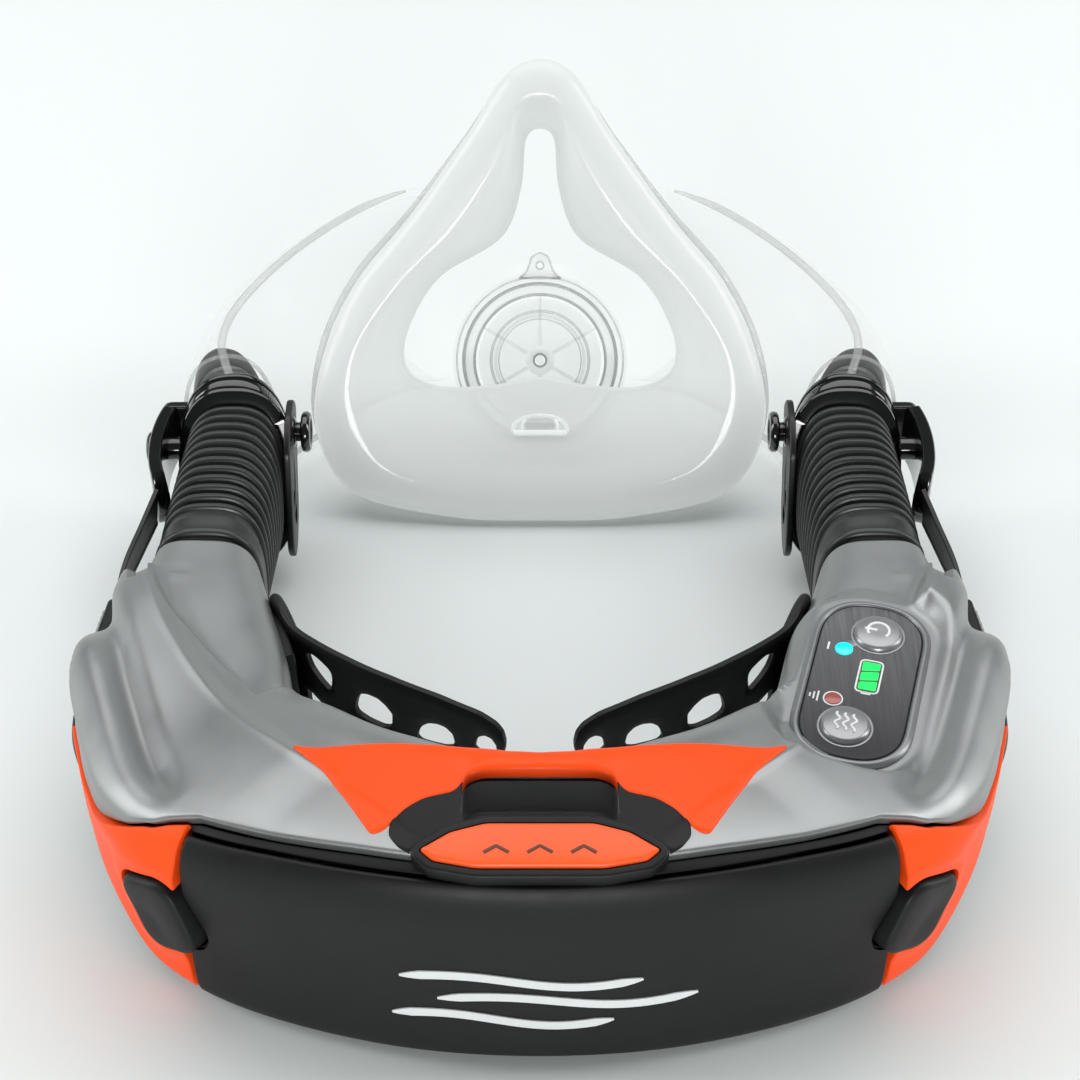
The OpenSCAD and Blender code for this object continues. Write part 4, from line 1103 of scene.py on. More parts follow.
for k, (z, x0, x1) in enumerate(((31, -30, 22), (24.5, -22, 34), (18, -32, 16))):
    xs = np.linspace(x0, x1, 60)
    stroke(f"air_stroke_{k}", xs, z + 1.5 * np.sin((xs - x0) / (x1 - x0) * 2 * pi), 2.6, M_white, "filter_cover")

# ------------------------------------------------------------------ orange side guards and latches
def guard_disp(s):
    fr = [np.asarray(v, float) for v in latch_frame(s)]

    def f(P, N):
        q = P - fr[0]
        lx, ly = q @ fr[1], q @ fr[2]
        dx, dy = np.abs(lx + 1.4) - (10.3 - 6.4), np.abs(ly) - (11.2 - 6.4)
        d = np.hypot(np.maximum(dx, 0), np.maximum(dy, 0)) + np.minimum(np.maximum(dx, dy), 0) - 6.4
        near = np.exp(-(np.maximum(d, 0) / 3.4) ** 2)
        swell = np.exp(-((P[..., 2] - 43) / 6.0) ** 2) * np.exp(-((lx - 2) / 15) ** 2)
        return 1.3 * near + 1.6 * swell * sm(0, 4, d)
    return f


for s, side in ((1, "right"), (-1, "left")):
    gt = t_list(2.07, 4.02, 132, 0.7, 0.7, 34.0)
    g, _, _ = rounded_panel(f"guard_{side}", gt * s, lambda t: bot(t, 0.3), lambda t: lip(t, 0.35), 60, 0.55, 2.8, M_orange, None,
                            o=lambda t, p: -0.8 - hip(t, p), disp=guard_disp(s), ends=(True, True))
    bool_cut(g, [latch_cut(s, 20.6, 22.4, 6.4, -1.4)])
    sharp(g, 40)
    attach(g, "housing")
    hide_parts(f"side_guard_{side}")
    # rolled lip round the latch opening
    fr = latch_frame(s)
    P = pill(20.2, 18.4, 5.8) + [-1.4, 0]
    n = len(P)
    dish = lambda x, y: -0.9 * np.exp(-((x - 0.5) / 5.0) ** 2 - ((y + 1) / 6.0) ** 2) - 0.10 * (x / 8.0) ** 2 * 3
    L = pillow(f"latch_{side}_paddle", P if s > 0 else P, -2.0, 3.6, 1.9, M_black, None, fr, crown=0.35, top=dish)
    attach(L, f"latch_{side}")
    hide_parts(f"cover_latch_{side}")
    liner = ring(f"latch_{side}_liner", pill(22.4, 20.6, 6.8) + [-1.4, 0], rround([(-0.45, -7), (0.55, -7), (0.55, -1.2), (-0.45, -1.2)], .3, 2), M_gap, "housing", fr)
    pn = rod(f"latch_{side}_pin", [(s * 88.13, -147.0, z) for z in (12.6, 16, 20, 25, 30, 34, 37.4)], 0.62, M_steel, "housing")


# ------------------------------------------------------------------ orange bridge over the finger pocket
TB_ = [(54.1, -133.4, 57.0), (47, -133.7, 58.2), (39, -133.5, 59.3), (30.8, -133.6, 60.4), (22, -134.4, 61.6), (14.3, -136, 62.6), (7, -138.4, 64.2), (0, -139.6, 65)]
TO_ = [(53.8, -134.6, 57.4), (46.6, -141.9, 58.6), (41.2, -150.3, 59.8), (37.6, -156.3, 60.4), (35.2, -160.3, 60.3)]
TF_ = [(32.4, -159.0, 59.2), (28.3, -153.4, 58.0), (24.6, -150.6, 57.0), (21, -149.6, 56.6), (18.2, -148.9, 56.9), (16.4, -146.4, 58.2), (15.9, -144.0, 60.4), (13.3, -143.4, 63), (7, -144.2, 64.6), (0, -144.6, 65)]
half = np.array([(x, y) for x, y, z in TB_[::-1]] + [(x, y) for x, y, z in TO_] + [(x, y) for x, y, z in TF_])
full = np.concatenate([half, (half[1:-1] * [-1, 1])[::-1]])
n_o = 340
ol = resample(full, n_o)
ol = soften(ol, times=3)
ctrl = np.array(TB_ + TO_ + TF_ + [(44, -137.5, 59.8), (36, -141, 60.6), (38, -150, 60.9), (33, -152, 60.6), (28, -144, 60.2), (24, -139.5, 61.4), (20, -143.5, 60.4), (17, -140.5, 62.2), (30, -138, 60.9), (0, -142, 65.7), (8, -141, 65.0)], float)
ctrl = np.concatenate([ctrl, ctrl[ctrl[:, 0] > 0] * [-1, 1, 1]])


def tps(P, Z, lam=0.02):
    """Thin-plate surface through the points P with heights Z."""
    n = len(P)
    d2 = ((P[:, None] - P[None]) ** 2).sum(-1)
    K = 0.5 * d2 * np.log(d2 + 1e-9)
    K[np.arange(n), np.arange(n)] = lam * 40
    A = np.zeros((n + 3, n + 3))
    A[:n, :n] = K
    A[:n, n] = A[n, :n] = 1
    A[:n, n + 1:] = P
    A[n + 1:, :n] = P.T
    c = np.linalg.solve(A, np.concatenate([Z, np.zeros(3)]))

    def f(Q):
        d = ((Q[:, None] - P[None]) ** 2).sum(-1)
        return (0.5 * d * np.log(d + 1e-9)) @ c[:n] + c[n] + Q @ c[n + 1:]
    return f


trim_z = tps(ctrl[:, :2], ctrl[:, 2])


def inside_poly(poly, Q):
    x, y = Q[:, 0], Q[:, 1]
    c = np.zeros(len(Q), bool)
    for i in range(len(poly)):
        a, b = poly[i - 1], poly[i]
        m = ((a[1] > y) != (b[1] > y)) & (x < (b[0] - a[0]) * (y - a[1]) / (b[1] - a[1] + 1e-12) + a[0])
        c ^= m
    return c


def plate(name, outline, zf, th, r, mat, body, step=1.0):
    """Sheet of thickness th under the surface zf inside the plan outline, with its upper edge rounded by r."""
    pts = [Vector((float(a), float(b))) for a, b in outline]
    n = len(outline)
    edges = [(i, (i + 1) % n) for i in range(n)]
    no = onorm(outline)
    for f in (0.12, 0.35, 0.75):
        q = outline - no * r * f
        d = np.sqrt(((q[:, None] - outline[None]) ** 2).sum(-1)).min(1)
        for p, dd in zip(q, d):
            if dd > r * f * .9:
                pts.append(Vector((float(p[0]), float(p[1]))))
    lo, hi = outline.min(0), outline.max(0)
    g = np.stack(np.meshgrid(np.arange(lo[0], hi[0], step), np.arange(lo[1], hi[1], step), indexing="ij"), -1).reshape(-1, 2)
    g = g[inside_poly(outline, g)]
    dg = np.sqrt(((g[:, None] - outline[None]) ** 2).sum(-1)).min(1)
    for p in g[dg > r]:
        pts.append(Vector((float(p[0]), float(p[1]))))
    vo, eo, fo, ov, oe, of_ = geometry.delaunay_2d_cdt(pts, edges, [], 1, 1e-5)
    vo = np.array([(p.x, p.y) for p in vo])
    cen = np.array([vo[list(f)].mean(0) for f in fo])
    keep = inside_poly(outline, cen)
    F = [tuple(f) for f, k in zip(fo, keep) if k]
    d = np.sqrt(((vo[:, None] - outline[None]) ** 2).sum(-1)).min(1)
    z = zf(vo)
    A = np.concatenate([vo, (z - rounding(d, r))[:, None]], 1)
    B = np.concatenate([vo, (z - th)[:, None]], 1)
    m = len(A)
    from collections import Counter
    cnt = Counter()
    for f in F:
        for i in range(3):
            cnt[(f[i], f[(i + 1) % 3])] += 1
    bd = [e for e in cnt if (e[1], e[0]) not in cnt]
    FF = F + [tuple(i + m for i in reversed(f)) for f in F] + [(b, a, a + m, b + m) for a, b in bd]
    used = sorted({i for f in FF for i in f})
    mp = {u: k for k, u in enumerate(used)}
    V = np.concatenate([A, B])[used]
    ob = put(name, V, [tuple(mp[i] for i in f) for f in FF], mat, None)
    fix_normals(ob)
    sharp(ob, 46)
    if body:
        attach(ob, body)
    return ob


top_pts = UP[(UN[..., 2] > 0.35) & (np.abs(UP[..., 0]) < 62)]
top_pts = top_pts[top_pts[:, 1] < -120]


def over_shell(Q):
    """Trim height: its own surface, but never sunk into the shell below it."""
    z = trim_z(Q)
    zs = np.empty(len(Q))
    for i in range(0, len(Q), 400):
        d = ((Q[i:i + 400, None] - top_pts[None, :, :2]) ** 2).sum(-1)
        k = np.argpartition(d, 4, axis=1)[:, :4]
        w = 1 / (np.take_along_axis(d, k, 1) + .05)
        zs[i:i + 400] = (top_pts[k, 2] * w).sum(1) / w.sum(1)
    zs = zs + 0.75
    u = (z - zs) / 0.7
    return zs + 0.7 * np.logaddexp(0, u)


def on_shell(Q):
    zs = np.empty(len(Q))
    for i in range(0, len(Q), 400):
        d = ((Q[i:i + 400, None] - top_pts[None, :, :2]) ** 2).sum(-1)
        k = np.argpartition(d, 4, axis=1)[:, :4]
        w = 1 / (np.take_along_axis(d, k, 1) + .05)
        zs[i:i + 400] = (top_pts[k, 2] * w).sum(1) / w.sum(1)
    return zs + 0.4


# dark insert under the bridge, round the badge and the finger pocket
SUR = np.array([(16, -145.6), (22, -147.6), (27.5, -151), (31.4, -156.6), (31.6, -160.4), (29.2, -163.6), (25.5, -165.6), (20, -166.6)])
SUR = np.concatenate([SUR, (SUR * [-1, 1])[::-1]])
sol = soften(resample(SUR, 260), times=4)
sur = plate("badge_surround", sol, on_shell, 1.5, 0.35, M_black, None, 1.0)
sc1 = pillow("surround_cut_a", soften(pill(16.6, 33.4, 4.5)) + [0, -150.6], 47, 80, 0.1, None, None, at(0, 0, 0))
sc2 = pillow("surround_cut_b", boat(0.5), -3, 12, 0.1, None, None, BFR)
bool_cut(sur, [sc1, sc2])
sharp(sur, 46)
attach(sur, "housing")
trim = plate("top_bridge", ol, over_shell, 3.0, 1.1, M_orange, None, 1.0)
cut = pillow("trim_cut", boat(0.9), -6, 16, 0.1, None, None, BFR)
bool_cut(trim, [cut])
sharp(trim, 46)
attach(trim, "housing")
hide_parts("top_trim")

# badge-shaped release button on its plinth
pl = pillow("badge_base", boat(0.1), 0.25, 4.1, 0.8, M_black, None, BFR)
cut = pillow("badge_well", boat(-1.7), 1.2, 9, 0.1, None, None, BFR)
bool_cut(pl, [cut])
sharp(pl, 45)
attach(pl, "housing")
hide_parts("badge_plinth")
bt_ = pillow("badge_button", boat(-2.1), 3.3, 5.0, 0.9, M_badge, "release_button", BFR, crown=0.25)
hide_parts("release_button")


def flat_stroke(name, pts, w, z, fr, mat, body, h=0.16, closed=False):
    """Raised flat line in a local frame, square-ended with softened corners."""
    pts = np.asarray(pts, float)
    d = unit(np.gradient(pts, axis=0)) if not closed else unit(np.roll(pts, -1, 0) - np.roll(pts, 1, 0))
    n = np.stack([-d[:, 1], d[:, 0]], -1)
    prof = [(-1, -.25), (-1, h * .6), (-.8, h), (.8, h), (1, h * .6), (1, -.25)]
    V = []
    for a, b in prof:
        q = pts + n * w / 2 * a
        V.append(np.concatenate([q, np.full((len(q), 1), z + b)], 1))
    V = np.stack(V, 1)
    m = len(prof)
    F = []
    k = len(pts)
    for i in range(k if closed else k - 1):
        for j in range(m):
            x, y = i * m + j, i * m + (j + 1) % m
            u, v = ((i + 1) % k) * m + (j + 1) % m, ((i + 1) % k) * m + j
            F.append((x, y, u, v))
    if not closed:
        F.append(tuple(range(m))[::-1])
        F.append(tuple((k - 1) * m + q for q in range(m)))
    ob = put(name, frame_pts(V.reshape(-1, 3), fr), F, mat, None)
    fix_normals(ob)
    sharp(ob, 45)
    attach(ob, body)
    return ob


# plain push arrows on the badge
for k, x in enumerate((-9, 0, 9)):
    xs = np.linspace(-2.6, 2.6, 15)
    flat_stroke(f"badge_mark_{k}", np.stack([x + xs, -0.9 + 1.5 * (1 - np.abs(xs) / 2.6)], -1), 0.75, 5.2, BFR, M_print, "release_button", h=0.1)

# ------------------------------------------------------------------ keypad
kt = math.radians(-15.3)
KX, KY = (math.cos(kt), math.sin(kt), 0), (-math.sin(kt), math.cos(kt), 0)
tiltx = math.radians(0.0)
KO = np.array((73.8, -105.6, 50.4))
KF = (KO, KX, KY, (0, 0, 1))


def round_outline(l, w, r, grow=0.0):
    P = pill(l + 2 * grow, w + 2 * grow, r + grow, 24)
    return resample(soften(P, times=6), 120)


bez = ring("keypad_rim", round_outline(54, 28, 12), rround([(-3.4, -3.2), (0, -3.2), (0, 0.9), (-0.9, 1.7), (-1.7, 1.7), (-2.0, 1.1), (-3.4, 1.0)], .35, 3), M_bezel, "housing", KF)
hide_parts("keypad_bezel")
gapr = ring("keypad_gap", round_outline(54, 28, 12, -2.05), rround([(-0.5, 0.2), (0.35, 0.2), (0.35, 1.22), (-0.5, 1.22)], .1, 2), M_gap, "housing", KF)
pan = pillow("keypad_face", round_outline(54, 28, 12, -2.25), -2, 1.45, 0.3, M_panel, None, KF, rb=0)
cutk = [pillow("kc", circle(6.3, 64) + [1.3, 15.5], 0.1, 5, 0.05, None, None, KF), pillow("kc", circle(6.3, 64) + [-1.3, -15.5], 0.1, 5, 0.05, None, None, KF)]
bool_cut(pan, cutk)
sharp(pan, 40)
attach(pan, "housing")
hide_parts("keypad_panel")


def push_button(name, c, body, node):
    bowl = lambda x, y: -0.35 * np.exp(-(((x - c[0]) ** 2 + (y - c[1]) ** 2) / 9.0))
    o = pillow(name, circle(5.75, 72) + c, -0.4, 2.9, 1.3, M_button, body, KF, crown=0.55, top=bowl)
    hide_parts(node)
    r = ring(name + "_ring", circle(6.1, 72) + c, rround([(-0.3, 0.2), (0.25, 0.2), (0.25, 1.62), (-0.3, 1.62)], .1, 2), M_button, "housing", KF)
    return o


PB, TB = np.array([1.3, 15.5]), np.array([-1.3, -15.5])
push_button("power_key", PB, "power_button", "power_button")
push_button("test_key", TB, "test_button", "test_button")
# power symbol: broken circle with a bar; it reads along the keypad
rot = lambda P, a: np.stack([P[:, 0] * math.cos(a) - P[:, 1] * math.sin(a), P[:, 0] * math.sin(a) + P[:, 1] * math.cos(a)], -1)
an = np.radians(np.linspace(50, 310, 60) + 90 - 180)
icon = np.stack([2.5 * np.cos(an), 2.5 * np.sin(an)], -1)
flat_stroke("power_icon_arc", rot(icon, math.radians(0)) + PB, 0.62, 3.12, KF, M_white, "power_button", h=0.2)
flat_stroke("power_icon_bar", np.stack([np.linspace(0.3, 3.2, 12) * -1, np.zeros(12)], -1) + PB, 0.62, 3.16, KF, M_white, "power_button", h=0.2)
for k, y in enumerate((-1.9, 0, 1.9)):
    xs = np.linspace(-2.6, 2.6, 30)
    flat_stroke(f"test_icon_{k}", np.stack([y + 0.5 * np.sin(xs * 2.2), xs], -1) + TB, 0.55, 3.08, KF, M_white, "test_button", h=0.2)
# lamps
cy = pillow("power_lamp", circle(2.1, 40) + [-5.6, 9], -1, 1.75, 0.25, M_cyan, "housing", KF, crown=0.12)
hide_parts("power_lens")
rl = pillow("filter_lamp", circle(1.9, 40) + [-5.4, -7.6], -1, 1.75, 0.25, M_red, "housing", KF, crown=0.1)
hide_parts("filter_lens")
o = ring("filter_lamp_ring", circle(2.05, 40) + [-5.4, -7.6], rround([(-0.1, 1.2), (0.25, 1.2), (0.25, 1.62), (-0.1, 1.62)], .05, 2), M_white, "housing", KF)
# link from the power lamp to its button
flat_stroke("lamp_link", np.stack([np.linspace(-4.9, -3.1, 8), np.linspace(10.6, 12.0, 8)], -1), 2.2, 1.45, KF, M_bezel, "housing", h=0.12)
o = flat_stroke("battery_outline", round_outline(10.4, 5.2, .8)[::2] * 1.0 + [1.5, 1.5], 0.42, 1.45, KF, M_white, "housing", h=0.14, closed=True)
flat_stroke("battery_tip", [[0.4, -4.0], [1.5, -4.0], [2.6, -4.0]], 0.7, 1.45, KF, M_white, "housing", h=0.14)
for k in range(3):
    y0 = -2.9 + 3.15 * k
    sl = 0.9
    P = np.array([(-0.55, y0 + (0 if k == 0 else -sl * .5)), (3.55, y0 + (0 if k == 0 else sl * .5)), (3.55, y0 + 2.6 + (0 if k == 2 else sl * .5)), (-0.55, y0 + 2.6 - (0 if k == 2 else sl * .5))])
    P = resample(rround(P, .3, 3), 40)
    b_ = pillow(f"battery_bar_{k}", P, 1.0, 1.66, 0.08, M_green, "housing", KF)
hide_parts("battery_lens")
# small pictograms beside the lamps
flat_stroke("mark_on", np.stack([np.full(10, -9.3), np.linspace(8.0, 10.4, 10)], -1), 0.5, 1.45, KF, M_white, "housing", h=0.1)
for k in range(3):
    flat_stroke(f"mark_filter_{k}", np.stack([np.full(8, -8.9 - .9 * k), np.linspace(-9.2 + .5 * k, -6.0 - .5 * k, 8)], -1), 0.4, 1.45, KF, M_white, "housing", h=0.1)

# ------------------------------------------------------------------ neck pads
NPp = np.array([(64.3, -69), (60, -78), (50, -87), (37, -95), (22, -101), (8, -106)], float)


def npc(t):
    t = np.asarray(t, float)
    E = np.concatenate([NPp[:1], NPp, NPp[-1:]])
    tc = np.clip(t, 0, 5 - 1e-9)
    i = np.floor(tc).astype(int)
    f = (tc - i)[..., None]
    return cr(E[i], E[i + 1], E[i + 2], E[np.minimum(i + 3, 6)], f)


def npn(t):
    d = npc(np.minimum(np.asarray(t) + .05, 5)) - npc(np.maximum(np.asarray(t) - .05, 0))
    return unit(np.stack([-d[..., 1], d[..., 0]], -1))


def smooth_poly(P, n, k=10):
    P = resample(np.asarray(P, float), n)
    return soften(P, times=k)


OUT = [(0.76, 18.2), (0.88, 17.6), (1.4, 17.6), (2.2, 17.8), (3, 18.2), (3.6, 19.2), (4.2, 20.8), (4.6, 22.4), (4.84, 25), (4.97, 28.6), (5.0, 31.5), (4.93, 34.6), (4.78, 37.0), (4.5, 39.2),
       (3.9, 41.2), (3.1, 42.9), (2.3, 43.2), (1.6, 42.9), (1.25, 42.6), (1.0, 42.6), (0.8, 42.9), (0.55, 43.2), (0.3, 42.8), (0.12, 41.4), (0.05, 39.6), (0.16, 38.2), (0.4, 37.9), (0.62, 38.4), (0.86, 37.8),
       (0.99, 35.6), (0.97, 31), (0.9, 26), (0.82, 21.5)]
HOLES = [[(1.46, 37.6), (1.52, 38.3), (1.66, 38.7), (1.8, 38.1), (1.96, 36.9), (2.02, 35.8), (2.03, 34), (1.99, 29.6), (1.9, 29.5), (1.78, 30.6), (1.66, 32), (1.55, 33.6), (1.47, 36)],
         [(1.40, 24.9), (1.5, 24.7), (1.62, 23.9), (1.8, 22.4), (1.95, 20.7), (1.95, 19.5), (1.9, 19.2), (1.6, 19.3), (1.44, 19.6), (1.39, 20.4)],
         [(2.54, 32.4), (2.6, 33.9), (2.72, 34.7), (2.9, 34.6), (3.03, 33.2), (3.14, 31), (3.13, 27.5), (3.08, 25.9), (2.96, 25.2), (2.7, 25.4), (2.5, 26.2), (2.46, 27.6), (2.49, 30)],
         [(3.52, 25.4), (3.55, 27.8), (3.62, 30.2), (3.72, 31.6), (3.86, 32.1), (3.99, 31.7), (4.1, 30), (4.13, 27.4), (4.08, 25.2), (3.96, 24.4), (3.72, 24.2), (3.58, 24.3)],
         [(4.42, 27), (4.44, 29.6), (4.49, 31.6), (4.58, 32.5), (4.69, 32), (4.78, 30), (4.79, 28), (4.73, 26.6), (4.6, 26), (4.48, 26.1)]]


def ladder(side):
    s = 1 if side == "right" else -1
    KT = 14.0  # mm per unit of station, to keep triangles even
    loops = [smooth_poly([(a * KT, b) for a, b in OUT], 300, 2)] + [smooth_poly([(a * KT, b) for a, b in h], 56, 1) for h in HOLES]
    pts, edges = [], []
    for L in loops:
        o = len(pts)
        pts += [Vector((float(p[0]), float(p[1]))) for p in L]
        edges += [(o + i, o + (i + 1) % len(L)) for i in range(len(L))]
    # inner offset rows keep the rounded edge crisp
    for x in np.arange(1.0, 5 * KT, 1.6):
        for y in np.arange(18, 43.5, 1.6):
            pts.append(Vector((x, y)))
    vo, eo, fo, ov, oe, of_ = geometry.delaunay_2d_cdt(pts, edges, [], 2, 1e-4)
    vo = np.array([(p.x, p.y) for p in vo])

    def inside(poly, q):
        x, y = q
        px_, py_ = poly[:, 0], poly[:, 1]
        qx, qy = np.roll(px_, -1), np.roll(py_, -1)
        c = ((py_ > y) != (qy > y)) & (x < (qx - px_) * (y - py_) / (qy - py_ + 1e-12) + px_)
        return c.sum() % 2 == 1
    F = []
    for f in fo:
        c = vo[list(f)].mean(0)
        if inside(loops[0], c) and not any(inside(h, c) for h in loops[1:]):
            F.append(tuple(f))
    used = sorted({i for f in F for i in f})
    mp = {u: k for k, u in enumerate(used)}
    F = [tuple(mp[i] for i in f) for f in F]
    q = vo[used]
    t, z = q[:, 0] / KT, q[:, 1]
    c, n = npc(t), npn(t)
    # distance to the outline drives the rounding
    allp = np.concatenate(loops)
    d = np.sqrt(((q[:, None] - allp[None]) ** 2).sum(-1)).min(1)
    th = 1.15 - 0.5 * np.exp(-(d / 0.55) ** 2)
    A = np.concatenate([c + n * th[:, None], z[:, None]], 1)
    B = np.concatenate([c - n * th[:, None], z[:, None]], 1)
    m = len(A)
    from collections import Counter
    cnt = Counter()
    for f in F:
        for i in range(3):
            cnt[(f[i], f[(i + 1) % 3])] += 1
    bd = [e for e in cnt if (e[1], e[0]) not in cnt]
    FF = [f for f in F] + [tuple(i + m for i in reversed(f)) for f in F] + [(b, a, a + m, b + m) for a, b in bd]
    ob = put(f"neck_ladder_{side}", np.concatenate([A, B]), FF, M_pad, None, mirror_x=s < 0)
    fix_normals(ob)
    sharp(ob, 55)
    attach(ob, "housing")
    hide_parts(f"neck_pad_{side}")
    # bead along the hook end
    path = [(64.6, -68.6, 41.2), (63.2, -71.2, 41.6), (61.6, -74.4, 41.5), (60.2, -77.2, 41.2)]
    hk = rod(f"neck_hook_{side}", [(s * p[0], p[1], p[2]) for p in curve_pts(path, 20)], np.linspace(2.3, 1.6, 20), M_pad, "housing", squash=(0.75, 1.0))


ladder("right")
ladder("left")
for s, side in ((1, "right"), (-1, "left")):
    an_t = t_list(4.1, 5.4, 40, .6, .6, 27.0)
    ao, _, _ = rounded_panel(f"anchor_{side}", an_t * s, lambda t: pa(t, 166), lambda t: pa(t, 191.5), 26, 0.8, 2.0, M_pad, None, o=lambda t, p: -2.1 + 0.9 * sm(4.6, 5.4, np.abs(t)) + 0 * p, ends=(True, True))
    sharp(ao, 42)
    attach(ao, "housing")
    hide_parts(f"pad_anchor_{side}")

# ------------------------------------------------------------------ hoses
HC0, HC1 = np.array([84, -53, 28.3]), np.array([81.5, -8, 28.5])


def hose_p(u, a, dr, e=0.72, w0=13.5, h0=20.0):
    u, a, dr = np.broadcast_arrays(np.asarray(u, float), np.asarray(a, float), np.asarray(dr, float))
    c = HC0 + (HC1 - HC0) * u[..., None]
    c = c + np.stack([0 * u, 0 * u, 0.6 * np.sin(pi * u)], -1)
    q = np.radians(24 * u)
    x = sp(np.cos(a), e) * (w0 + dr)
    z = sp(np.sin(a), e) * (h0 * (1 + .1 * u) + dr)
    return c + np.stack([x, z * np.sin(q), z * np.cos(q)], -1)


def even_angles(n, e, w, h):
    a = np.linspace(0, 2 * pi, 2001)
    x, y = sp(np.cos(a), e) * w, sp(np.sin(a), e) * h
    S = np.concatenate([[0], np.cumsum(np.hypot(np.diff(x), np.diff(y)))])
    return np.interp(np.linspace(0, S[-1], n, endpoint=False), S, a)


AE = even_angles(96, .72, 13.5, 21)


def hose_tube(name, us, dr_out, dr_in, mat, body, s, e=.72, n_end=True):
    """Closed-wall tube: rows along the outside, then back along the inside."""
    us = np.asarray(us, float)
    rows = [hose_p(u, AE, d, e) for u, d in zip(us, dr_out)] + [hose_p(u, AE, d, e) for u, d in zip(us[::-1], dr_in[::-1])]
    P = np.stack(rows)
    n, m = P.shape[:2]
    F = []
    for i in range(n):
        for j in range(m):
            F.append((i * m + j, i * m + (j + 1) % m, ((i + 1) % n) * m + (j + 1) % m, ((i + 1) % n) * m + j))
    ob = put(name, P.reshape(-1, 3), F, mat, None, mirror_x=s < 0)
    fix_normals(ob)
    sharp(ob, 60)
    return ob


for s, side in ((1, "right"), (-1, "left")):
    # cuff clamped on the end of the arm
    gap_ = hose_tube(f"arm_joint_{side}", [-.05, -.02, .0, .02, .05, .07], [-1.5, -1.2, -.75, -.7, -.7, -.9], np.full(6, -3.0), M_gap, None, s)
    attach(gap_, "housing")
    cu = np.array([.026, .029, .034, .042, .055, .052, .06, .10, .14, .150, .154, .162, .185, .2])
    cd = np.array([-.9, -.2, .25, .45, .5, .22, .12, .12, .12, .1, -.15, -.35, -.4, -.6])
    c_ = hose_tube(f"cuff_{side}", cu, cd, np.full(len(cu), -3.2), M_hose, None, s)
    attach(c_, "housing")
    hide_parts(f"hose_cuff_{side}")
    # bellows: flat-topped ribs parted by narrow grooves
    nr = 12
    u = np.linspace(0.19, .99, 16 * nr + 1)
    ph = ((u - .19) / .8 * nr) % 1.0
    dgroove = np.minimum(ph, 1 - ph)
    prof = -2.9 * np.exp(-(dgroove / .17) ** 2) - 0.7 * (1 - np.sin(pi * np.clip(ph, 0, 1)) ** .5) + 0.35 - 0.5 * ph
    b_ = hose_tube(f"bellows_{side}_tube", u, prof, np.clip(prof, -9, -0.2) - 1.3, M_hose, None, s)
    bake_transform(b_)
    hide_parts(f"bellows_{side}")


# ------------------------------------------------------------------ side straps and buckles
SPP = np.array([(99.9, -27.4, 36.2), (102.5, -40, 35.2), (105.2, -54, 34.4), (106.54, -67, 31.8), (106.9, -71, 31.6)])
for s, side in ((1, "right"), (-1, "left")):
    c = curve_pts(SPP, 80)
    T = unit(np.gradient(c, axis=0))
    roll = math.radians(17) * np.linspace(.55, 1, len(c))[:, None]
    Bn = np.concatenate([-np.sin(roll), 0 * roll, np.cos(roll)], 1)
    Bn = unit(Bn - T * (Bn * T).sum(1, keepdims=True))
    N = unit(np.cross(T, Bn))
    prof = rround([(-0.6, -6.9), (0.6, -6.9), (0.6, -5.6), (0.42, -5.2), (0.42, 5.2), (0.6, 5.6), (0.6, 6.9), (-0.6, 6.9), (-0.6, 5.6), (-0.42, 5.2), (-0.42, -5.2), (-0.6, -5.6)], .25, 3)
    st_ = sweep(f"strap_{side}_web", c, N, Bn, prof, M_strap, None, closed=False, mirror_x=s < 0)
    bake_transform(st_)
    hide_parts(f"strap_{side}")
    q6 = math.radians(6)
    bz = unit(np.array([-s * math.sin(math.radians(15)), 0, math.cos(math.radians(15))]))
    by = np.array([-s * math.sin(q6), math.cos(q6), 0])
    by = unit(by - bz * (by @ bz))
    fr = ((s * 107.4, -73.9, 31.5), np.cross(by, bz) * s, by, bz)
    # block with rounded ends, ribs and a web slot
    bl_ = pillow(f"buckle_{side}_block", soften(pill(16.4, 3.5, 1.2)) + [0.1, 0], -8.9, 8.9, 0.9, M_buckle, None, fr, rb=0.9)
    ct = pillow("bk", pill(12, 1.7, 0.4) + [0, 7.4], -8.0, 8.0, 0.1, None, None, fr)
    bool_cut(bl_, [ct])
    sharp(bl_, 42)
    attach(bl_, "housing")
    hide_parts(f"strap_buckle_{side}")
    for k in range(7):
        y = -6.6 + k * 1.9
        pth = frame_pts(np.array([(1.75, y, z) for z in np.linspace(-6.3, 6.3, 9)]), fr)
        rb_ = rod(f"buckle_{side}_rib_{k}", pth, 0.7, M_ribs, "housing", seg=12)

# ------------------------------------------------------------------ mask: silicone face seal
LEAN = math.radians(26)


def Mx(p):
    p = np.asarray(p, float)
    return np.stack([p[..., 0], 3 + p[..., 1] * math.sin(LEAN) + p[..., 2] * math.cos(LEAN), 2 + p[..., 1] * math.cos(LEAN) - p[..., 2] * math.sin(LEAN)], -1)


def loop18(L):
    L = np.array(L, float)
    if L[0, 1] > 116 or (L[0, 1] > 100 and L[0, 2] > 15):
        # the nose end is drawn in
        L[:, 0] *= lk(L[:, 1], [(82, 1), (98, .93), (110, .86), (122, .76), (130, .72)])
    return np.concatenate([L, L[8:0:-1] * [-1, 1, 1]])


